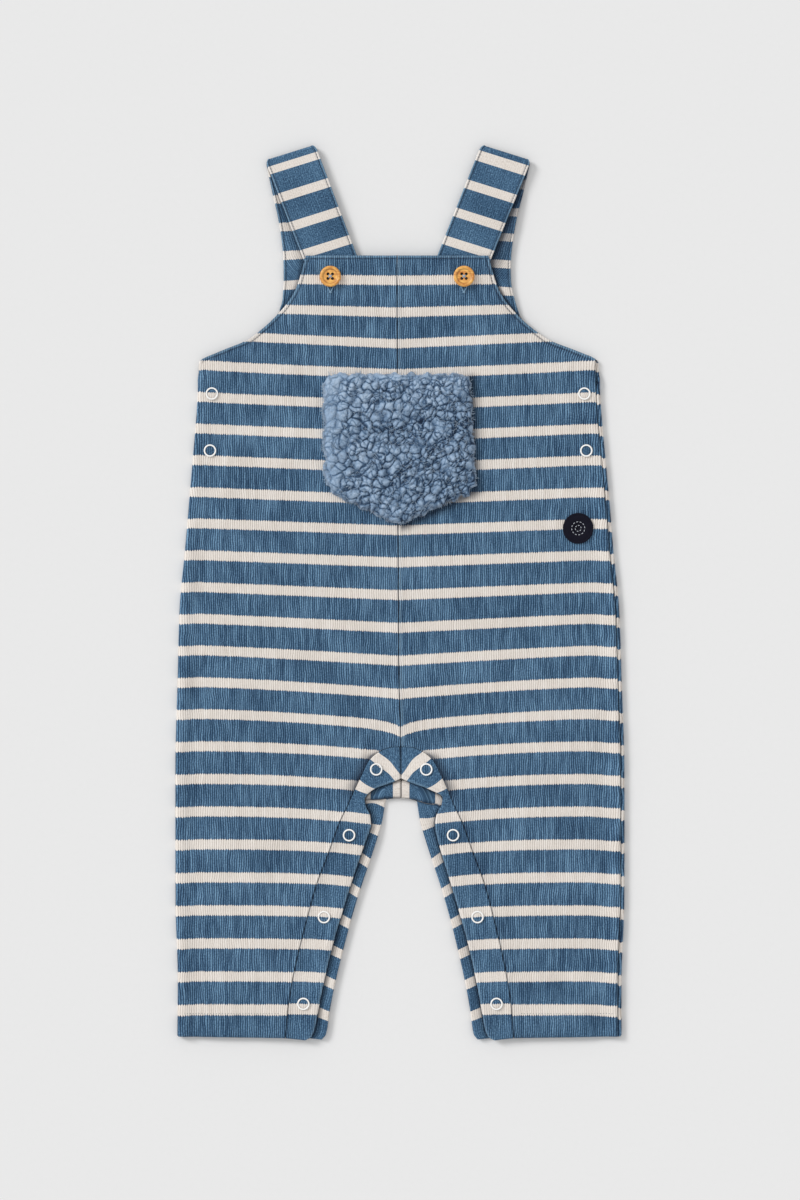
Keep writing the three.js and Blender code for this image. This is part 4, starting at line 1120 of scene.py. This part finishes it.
def strands(name, starts, ends, radius, bow, material, sides=6, bows=9):
    """Short lengths of thread from starts to ends. Each is a tube whose middle line rises by
    bow times 1 - (2 t - 1)^2 along the given direction, and whose ends are pointed."""
    starts, ends, bow = np.atleast_2d(starts), np.atleast_2d(ends), np.atleast_2d(bow)
    t = np.linspace(0, 1, bows)
    line = starts[:, None] + (ends - starts)[:, None] * t[:, None] + bow[:, None] * (1 - (2 * t - 1) ** 2)[:, None]
    run = unit(np.gradient(line, axis=1))
    lead = np.where(np.abs(run[..., 2:]) > 0.9, [1.0, 0, 0], [0, 0, 1.0])
    first = unit(np.cross(run, lead))
    second = np.cross(run, first)
    girth = radius * np.sqrt(np.clip(1 - (2 * t - 1) ** 6, 0.02, 1))[None, :, None, None]
    angle = np.arange(sides) * 2 * np.pi / sides
    circle = first[:, :, None] * np.cos(angle)[:, None] + second[:, :, None] * np.sin(angle)[:, None]
    points = (line[:, :, None] + circle * girth).reshape(-1, 3)
    shift = np.arange(len(starts))[:, None, None] * bows * sides
    caps = np.array([[0, k, k + 1, k + 2] for k in range(1, sides - 2, 2)])
    caps = np.concatenate([caps, caps[:, ::-1] + (bows - 1) * sides])
    faces = (np.concatenate([turned_quads(bows, sides), caps])[None] + shift).reshape(-1, 4)
    return make_piece(name, points, faces, [material])


def on_front(x, y, side):
    """Points on the front's skin, as it lies, of points of one half's pattern."""
    z = front_at(side * x, y) + cloth / 2
    return np.stack([laid_x(side * x, y), y, z], axis=-1)


def strap_line(grid, end, rows, inset):
    """A line along a strap, inset from its inner or outer edge, on its upper skin."""
    strip = grid[rows]
    run = np.linalg.norm(np.diff(strip, axis=1), axis=2)
    along = np.concatenate([np.zeros((len(strip), 1)), np.cumsum(run, axis=1)], axis=1)
    at = inset if end == "inner" else along[:, -1] - inset
    step = np.argmin(np.abs(along - np.reshape(at, (-1, 1))), axis=1)
    return strip[np.arange(len(strip)), step] + [0, 0, cloth / 2]


def running_stitches(path):
    """Starts and ends of stitches along a path, at the stitch's pitch."""
    length = np.concatenate([[0], np.cumsum(np.linalg.norm(np.diff(path, axis=0), axis=1))])
    at = np.arange(0.5, length[-1] - stitch["length"], stitch["pitch"])
    ends = [np.stack([np.interp(where, length, path[:, k]) for k in range(3)], axis=1) for where in (at, at + stitch["length"])]
    return np.stack(ends)


blue_thread = thread_material("blue_thread", (26, 46, 70), (54, 82, 112))
light_thread = thread_material("light_blue_thread", (104, 142, 172), (150, 182, 208))
pale_thread = thread_material("pale_thread", (140, 152, 166), (190, 200, 210))

for end, side in HALVES.items():
    slope_y = np.linspace(bib_top - edge_inset - 0.5, underarm + 2, 60)
    slope = (half_width(slope_y + 1) - half_width(slope_y - 1)) / 2
    armhole = on_front(half_width(slope_y) - edge_inset * np.hypot(1, slope), slope_y, side)
    bib_x = np.linspace(1.2, 56, 30)
    bib = on_front(bib_x, np.full(30, bib_top - edge_inset), side)
    arc = beside(band_seam[:46], 0.9)
    arc = on_front(arc[arc[:, 0] > 0.5, 0], arc[arc[:, 0] > 0.5, 1], side)
    hem_x = np.linspace(78, 140, 30)
    hemmed = on_front(hem_x, np.full(30, hem_line), side)
    grid = strap_paths[end]
    rows = len(grid)
    fold_row = rows - strap_front_rows
    lines = [armhole, bib, arc, hemmed]
    for edge in ("inner", "outer"):
        lines.append(strap_line(grid, edge, slice(fold_row, rows - 5), strap_inset))
    lines.append(strap_line(grid, "outer", slice(fold_row - 60, fold_row - 16), strap_inset))
    runs = np.concatenate([running_stitches(line) for line in lines], axis=1)
    sewing = strands(
        f"{end}_topstitching", runs[0] - [0, 0, 0.12], runs[1] - [0, 0, 0.12], stitch["radius"],
        [0, 0, stitch["bow"]], blue_thread, bows=5,
    )
    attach(sewing, "root")

# Pocket
# A patch of curly fleece pile, a pentagon sewn on the bib over the centre seam. The pile
# stands in tufts with clefts between them, with shade painted into the clefts and the
# tufts' tops painted lighter, and its hair is loose at one side.

pile_grid = (176, 180)
wool = [from_srgb(16, 32, 56), from_srgb(80, 106, 135), from_srgb(140, 164, 191), from_srgb(183, 202, 222)]

pile_material, tree, shader = new_material("fleece_pile")
place = add_node(tree, "ShaderNodeTexCoord").outputs["Object"]
# The pile's tone comes from a point attribute, with painted shade in the clefts and painted light on the tufts' tops.
pile_tone_and_shade = add_node(tree, "ShaderNodeAttribute", attribute_name="pile_tone_and_shade").outputs["Fac"]
fuzz = noise(tree, place, 1300, 4.0, 0.75)
patch = noise(tree, place, 70, 2.0)
tone = number(tree, "ADD", pile_tone_and_shade, span(tree, fuzz, 0.3, 0.7, -0.12, 0.12))
tone = number(tree, "ADD", tone, span(tree, patch, 0.3, 0.7, -0.07, 0.07))
ramp = add_node(tree, "ShaderNodeValToRGB", {0: tone})
ramp.color_ramp.elements[0].color = wool[0]
ramp.color_ramp.elements[1].color = wool[3]
ramp.color_ramp.elements.new(0.38).color = wool[1]
ramp.color_ramp.elements.new(0.7).color = wool[2]
fuzz_bump = add_node(tree, "ShaderNodeBump", {"Height": fuzz, "Distance": 0.35 * METRE, "Strength": 0.6})
wire(tree, shader, {
    "Base Color": ramp.outputs[0],
    "Roughness": 0.95,
    "Specular IOR Level": 0.1,
    "Sheen Weight": 0.25,
    "Sheen Roughness": 0.5,
    "Normal": fuzz_bump.outputs[0],
})


def tufts(x, y, pitch, seed, shake=0.42):
    """A field of tufts. Each is a round back, c - (d / r)^2 about its own spot, with height
    c, radius r, squeeze and turn by chance, and the highest one shows. Returns its height,
    and how far it stands above the next one, which is 0 in the clefts."""
    chance = np.random.default_rng(seed)
    columns, rows = int(120 / pitch) + 2, int(120 / (0.87 * pitch)) + 2
    spot_x = (np.arange(columns)[None] + 0.5 * (np.arange(rows)[:, None] % 2)) * pitch - 60
    spot_y = np.broadcast_to(np.arange(rows)[:, None] * 0.87 * pitch + 34, spot_x.shape)
    spots = np.stack([spot_x, spot_y], axis=-1).reshape(-1, 2)
    spots = spots + chance.uniform(-shake, shake, spots.shape) * pitch
    tall = chance.uniform(0.55, 1.05, len(spots))
    radius = pitch * chance.uniform(0.5, 0.8, len(spots))
    turn = chance.uniform(0, np.pi, len(spots))
    squeeze = chance.uniform(1.0, 1.35, len(spots))
    highest, next_one = np.full(x.shape, -1.0), np.full(x.shape, -1.0)
    for spot, c, r, angle, flat in zip(spots, tall, radius, turn, squeeze):
        off_x, off_y = x - spot[0], y - spot[1]
        along = (off_x * np.cos(angle) + off_y * np.sin(angle)) / (r * flat)
        aside = (off_y * np.cos(angle) - off_x * np.sin(angle)) * flat / r
        back = c - along**2 - aside**2
        next_one = np.maximum(next_one, np.minimum(highest, back))
        highest = np.maximum(highest, back)
    return np.sqrt(np.clip(highest, 0.01, 1)), highest - next_one


def pile_pocket():
    """The pocket's closed shell: a grid over a pentagon with rounded corners and an uneven
    outline, with the front's form below and the crowned pile above. Returns the piece and
    the points of the pile's top."""
    rows, columns = pile_grid
    down = np.broadcast_to(np.linspace(0, 1, rows)[:, None], (rows, columns))
    across = np.broadcast_to(np.linspace(-1, 1, columns)[None], (rows, columns))
    right = pocket["right_top"] + (pocket["right_foot"] - pocket["right_top"]) * down
    left = pocket["left_top"] + (pocket["left_foot"] - pocket["left_top"]) * down
    x = across * np.where(across < 0, left, right)
    away = np.sqrt(across**2 + 0.004)
    corner_cut = pocket["round"] * ease(np.abs(across), 0.84, 1.02) ** 2
    head = pocket["top"] - corner_cut
    foot = pocket["point"] + (pocket["corner"] - pocket["point"]) * away + 0.5 * corner_cut
    y = head + (foot - head) * down
    to_edge = np.minimum.reduce([49 * (1 - np.abs(across)), (head - foot) * down, (head - foot) * (1 - down) * 0.9])
    rim = np.clip(to_edge / 6.5, 0, 1)
    ragged = (0.75 * waves(x, y, 8, 5, 3) + 0.4 * waves(x, y, 3.6, 5, 4)) * (1 - ease(to_edge, 0, 6))
    aside = np.sign(across) * ease(np.abs(across), 0.8, 1)
    endways = ease(1 - down, 0.9, 1) - ease(down, 0.85, 1)
    x, y = x + ragged * aside, y + ragged * endways
    warp_x, warp_y = 0.8 * waves(x, y, 8, 4, 5), 0.8 * waves(x, y, 8, 4, 6)
    big, big_cleft = tufts(x + warp_x, y + warp_y, 6.2, 11)
    small, small_cleft = tufts(x + warp_y, y - warp_x, 3.9, 12)
    tight = np.clip(0.45 + 0.3 * ease(x, -20, 20) + 0.35 * waves(x, y, 22, 4, 9), 0, 1)
    smooth = np.clip(ease(-x, 30, 47) + ease(y, 133, 143) * 0.5 + ease(waves(x, y, 26, 4, 15), 0.9, 1.9), 0, 0.85)
    relief = big * (1 - tight) + (0.45 * big + 0.55 * small) * tight + 0.06 * waves(x, y, 2.2, 6, 16)
    cleft = np.minimum(ease(big_cleft, 0, 0.45), 1 - tight + tight * ease(small_cleft, 0, 0.5))
    relief = relief * (0.7 + 0.3 * cleft)
    relief = relief * (1 - smooth) + (0.5 + 0.4 * relief) * smooth
    height = pocket["edge"] + (pocket["pile"] - pocket["edge"]) * np.sqrt(rim * (2 - rim))
    height = height - 1.4 + 2.9 * relief * (0.35 + 0.65 * rim) + 0.4 * waves(x, y, 26, 4, 8)
    height = np.maximum(height, 0.4) * np.sqrt(np.clip(to_edge / 1.6, 0.02, 1))
    floor_z = front_at(x, y) + cloth / 2 + 0.15
    laid = laid_x(x, y)
    top = np.stack([laid, y, floor_z + height], axis=-1)
    low = np.stack([laid, y, floor_z], axis=-1)
    index = np.arange(rows * columns).reshape(rows, columns)
    loop = np.concatenate([index[0, :-1], index[:-1, -1], index[-1, :0:-1], index[:0:-1, 0]])
    after = np.roll(loop, -1)
    quads = grid_quads(rows, columns)
    total = rows * columns
    sides = np.stack([after, loop, loop + total, after + total], axis=1)
    faces = np.concatenate([quads, quads[:, ::-1] + total, sides])
    # The pile's tone: painted shade in the clefts between tufts and painted light on the tufts' tops, lighter towards
    # the top and the wearer's right, darker towards the wearer's left, and drawn to a middle tone where the hair lies
    # smooth.
    tone = (0.46 + 0.4 * np.clip(relief, 0, 1) ** 1.5) * (0.08 + 0.92 * cleft)
    tone = tone + 0.09 * ease(y, 112, 140) + 0.05 * ease(-x, 0, 40) - 0.04 * ease(x, 10, 45)
    tone = tone + (0.72 - tone) * 0.6 * smooth
    values = {"pile_tone_and_shade": np.concatenate([tone.ravel(), np.zeros(total)])}
    points = np.concatenate([top.reshape(-1, 3), low.reshape(-1, 3)])
    return make_piece("fleece_pocket", points, faces, [pile_material], values=values), top


fleece, pile_top = pile_pocket()
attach(fleece, "root")
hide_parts("pocket")

# Loose hair of the pile: short bent fibres from one point of its top to another close by,
# and longer ones that stand out past its edges, most of them on the right of the wearer.
fibre = {"count": 2400, "reach": 7, "radius": 0.11, "fringe": 420}
wool_hair = thread_material("fleece_hair", (112, 134, 158), (168, 187, 205))
chance = np.random.default_rng(31)
rows, columns = pile_grid
root_row = chance.integers(2, rows - 2, fibre["count"])
root_column = chance.integers(2, columns - 2, fibre["count"])
step_row = chance.integers(-fibre["reach"], fibre["reach"] + 1, fibre["count"])
step_column = chance.integers(-fibre["reach"], fibre["reach"] + 1, fibre["count"])
roots = pile_top[root_row, root_column]
tips = pile_top[np.clip(root_row + step_row, 1, rows - 2), np.clip(root_column + step_column, 1, columns - 2)]
edge_kind = chance.choice(4, fibre["fringe"], p=(0.22, 0.16, 0.22, 0.4))
along = chance.uniform(0.02, 0.98, fibre["fringe"])
inset = 3
edge_row = np.select([edge_kind == 0, edge_kind == 2], [inset, rows - 1 - inset], (along * (rows - 1)).astype(int))
edge_column = np.select([edge_kind == 1, edge_kind == 3], [columns - 1 - inset, inset], (along * (columns - 1)).astype(int))
outward = np.select(
    [edge_kind[:, None] == 0, edge_kind[:, None] == 1, edge_kind[:, None] == 2], [[0, 1], [1, 0], [0, -1]], [-1, 0],
) + chance.normal(0, 0.45, (fibre["fringe"], 2))
far = unit(outward) * chance.uniform(1.8, 3.6, (fibre["fringe"], 1))
edge_roots = pile_top[edge_row, edge_column]
edge_tips = edge_roots + np.concatenate([far, chance.uniform(-1.6, 0.2, (fibre["fringe"], 1))], axis=1)
hair = strands(
    "fleece_hair", np.concatenate([roots, edge_roots]) - [0, 0, 0.1], np.concatenate([tips, edge_tips]),
    fibre["radius"], [0, 0, 0.45], wool_hair, sides=4, bows=4,
)
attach(hair, "root")

# Buttons
# Two wooden buttons with a round rim, a sunk middle and four holes, sewn to the ends of
# the straps with a cross of thread. Each comes through a worked buttonhole in the bib.

button = {"x": 43.3, "y": 205.2, "radius": 6.85, "height": 3, "rim": 4.75, "sink": 0.9}
hole = {"radius": 0.92, "spread": 1.45, "depth": 1.7}
button_sides = 96

wood, tree, shader = new_material("boxwood")
place = add_node(tree, "ShaderNodeTexCoord").outputs["Object"]
stretched = add_node(tree, "ShaderNodeMapping", {"Vector": place, "Scale": (260, 1500, 900)}).outputs[0]
veins = noise(tree, stretched, 1.0, 4.0, 0.65)
cloudy = noise(tree, place, 350, 2.0)
tone = number(tree, "ADD", veins, span(tree, cloudy, 0.3, 0.7, -0.15, 0.15))
ramp = add_node(tree, "ShaderNodeValToRGB", {0: tone})
ramp.color_ramp.elements[0].position = 0.25
ramp.color_ramp.elements[0].color = from_srgb(190, 108, 32)
ramp.color_ramp.elements[1].position = 0.75
ramp.color_ramp.elements[1].color = from_srgb(255, 200, 106)
grain_bump = add_node(tree, "ShaderNodeBump", {"Height": veins, "Distance": 0.06 * METRE, "Strength": 0.5})
# Painted shade: the wood turns dark brown in the holes and the groove inside the rim.
painted_button_shade = add_node(tree, "ShaderNodeAttribute", attribute_name="painted_button_shade").outputs["Fac"]
wire(tree, shader, {
    "Base Color": blend_colours(tree, painted_button_shade, ramp.outputs[0], from_srgb(38, 22, 12)),
    "Roughness": span(tree, veins, 0.3, 0.7, 0.38, 0.5),
    "Coat Weight": 0.25,
    "Coat Roughness": 0.3,
    "Normal": grain_bump.outputs[0],
})

def button_top(radius):
    """Height of the button's face: a round rim, a step down at the rim's inside, and a
    nearly level middle."""
    rim, high = button["rim"], button["height"]
    places = [0, 0.9 * rim, 0.97 * rim, 1.04 * rim, 0.78 * 6.85, 0.88 * 6.85, 0.955 * 6.85, 6.85]
    heights = [high - 0.95, high - 0.85, high - 0.62, high - 0.28, high - 0.05, high, high - 0.3, high - 1.2]
    return np.interp(radius, places, heights)


def wooden_button(name, middle, normal):
    """Button: its face is a height over a disc of rings, with four wells of round section
    pressed in; its foot is a smaller disc."""
    radius = np.concatenate([np.linspace(0.05, 3.2, 34), np.linspace(3.3, 6.3, 30), 6.85 - 0.55 * np.linspace(1, 0, 8)[1:] ** 2])
    angle = np.arange(button_sides) * 2 * np.pi / button_sides
    x, y = radius[:, None] * np.cos(angle), radius[:, None] * np.sin(angle)
    away = np.hypot(np.abs(x) - hole["spread"], np.abs(y) - hole["spread"])
    smooth_face = np.mean([button_top(np.clip(radius + shift, 0, 6.85)) for shift in np.linspace(-0.25, 0.25, 9)], axis=0)
    face = smooth_face[:, None] - hole["depth"] * (1 - ease(away, 0.62 * hole["radius"], 1.12 * hole["radius"]))
    top = np.stack([x, y, face], axis=-1)
    # Painted shade in the four holes and in the groove inside the rim.
    painted_button_shade = 1 - ease(away, 0.9 * hole["radius"], 1.2 * hole["radius"])
    groove = 0.36 * ridge(radius - 0.98 * button["rim"], 0.4)[:, None]
    foot = turned_points([(6.7, 1.1), (6.2, 0.5), (5.2, 0.05), (0.05, 0)], button_sides)
    local = np.concatenate([top.reshape(-1, 3), foot.reshape(-1, 3)]) + [0, 0, seat]
    faces = turned_quads(len(radius) + 4, button_sides, closed=True)
    dark = np.concatenate([np.maximum(painted_button_shade, groove).ravel(), np.zeros(len(foot) * button_sides)])
    return make_piece(name, on_cloth(local, middle, normal, cloth), faces, [wood], values={"painted_button_shade": dark})


for end, side in HALVES.items():
    x, y = button["x"], button["y"]
    middle = np.array([laid_x(side * x, y), y, front_at(side * x, y)])
    normal = front_normal(side * x, y)
    knob = wooden_button(f"{end}_button", middle, normal)
    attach(knob, "root")
    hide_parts(f"button_{end}")
    level = seat + button["height"] - button["sink"]
    reach = hole["spread"] * 0.72
    legs = np.array([[way * reach, reach, 0] for way in (1, -1)])
    beside_by = np.array([[-0.24, 0, 0], [0.24, 0, 0]])
    starts = (legs[:, None] + beside_by).reshape(-1, 3) + [0, 0, level - 0.4]
    tips = (-legs[:, None] + beside_by).reshape(-1, 3) + [0, 0, level - 0.4]
    cross = strands(
        f"{end}_button_thread", on_cloth(starts, middle, normal, cloth), on_cloth(tips, middle, normal, cloth),
        0.24, normal * 0.75, pale_thread,
    )
    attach(cross, "root")
    # Buttonhole: satin stitches round a slot, most of it under the button, whose two rows
    # close to a point below it.
    slot_top, slot_foot, narrowing, stitch_wide = 6.5, -9.7, 3.4, 0.75
    rungs = np.arange(slot_foot, slot_top, 0.36)
    apart = 0.1 + 1.3 * ease(rungs, slot_foot, slot_foot + narrowing)
    left = np.stack([-apart, rungs, np.full(len(rungs), 0.12)], axis=1)
    right = left * [-1, 1, 1]
    knots = np.array([[-0.9, -10.6, 0.15], [0.9, -10.6, 0.15], [-0.5, -10.1, 0.2]])
    knot_ends = np.array([[0.4, -9.5, 0.2], [-0.4, -9.5, 0.2], [0.6, -10.9, 0.2]])
    begin = np.concatenate([left, right, knots])
    finish = np.concatenate([left - [stitch_wide, 0.15, -0.1], right + [stitch_wide, -0.15, 0.1], knot_ends])
    worked = strands(
        f"{end}_buttonhole", on_cloth(begin, middle, normal, cloth), on_cloth(finish, middle, normal, cloth),
        0.24, normal * 0.25, light_thread, bows=5,
    )
    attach(worked, "root")

# Badge
# A round woven patch sewn on the left hip, navy, with rings of grey running stitches.

badge = {"x": 116.6, "y": 42, "radius": 10, "height": 1.2}
felt, tree, shader = new_material("navy_twill")
place = add_node(tree, "ShaderNodeTexCoord").outputs["Object"]
slanted = add_node(tree, "ShaderNodeMapping", {"Vector": place, "Rotation": (0, 0, 0.9), "Scale": (1600, 500, 1)}).outputs[0]
twill = noise(tree, slanted, 1.0, 2.0)
twill_bump = add_node(tree, "ShaderNodeBump", {"Height": twill, "Distance": 0.15 * METRE, "Strength": 0.7})
wire(tree, shader, {
    "Base Color": blend_colours(tree, twill, from_srgb(6, 6, 17), from_srgb(22, 22, 38)),
    "Roughness": 0.8,
    "Specular IOR Level": 0.15,
    "Normal": twill_bump.outputs[0],
})
grey_thread = thread_material("grey_thread", (150, 156, 168), (206, 210, 216))

middle = np.array([laid_x(badge["x"], badge["y"]), badge["y"], front_at(badge["x"], badge["y"])])
normal = front_normal(badge["x"], badge["y"])
reach = badge["radius"]
disc = [(0.05, 1.0), (reach - 3, 1.05), (reach - 1.8, 1.15), (reach - 1.3, 1.0), (reach - 1.0, 1.2),
        (reach - 0.45, 1.25), (reach - 0.08, 0.95), (reach, 0.5), (reach - 0.1, 0.0), (0.05, 0.0)]
local = turned_points(disc, 72).reshape(-1, 3) + [0, 0, 0.2]
patch = make_piece("hip_badge", on_cloth(local, middle, normal, cloth), turned_quads(len(disc), 72, closed=True), [felt])
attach(patch, "root")
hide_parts("badge")
begins, finishes = [], []
for ring_radius, count in ((2.0, 6), (4.3, 12)):
    first = np.arange(count) * 2 * np.pi / count
    for angle, store in ((first, begins), (first + 0.62 * 2 * np.pi / count, finishes)):
        store.append(np.stack([ring_radius * np.cos(angle), ring_radius * np.sin(angle), np.full(count, 1.27)], axis=1))
marks = strands(
    "badge_stitches", on_cloth(np.concatenate(begins), middle, normal, cloth),
    on_cloth(np.concatenate(finishes), middle, normal, cloth), 0.24, normal * 0.12, grey_thread, bows=5,
)
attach(marks, "root")
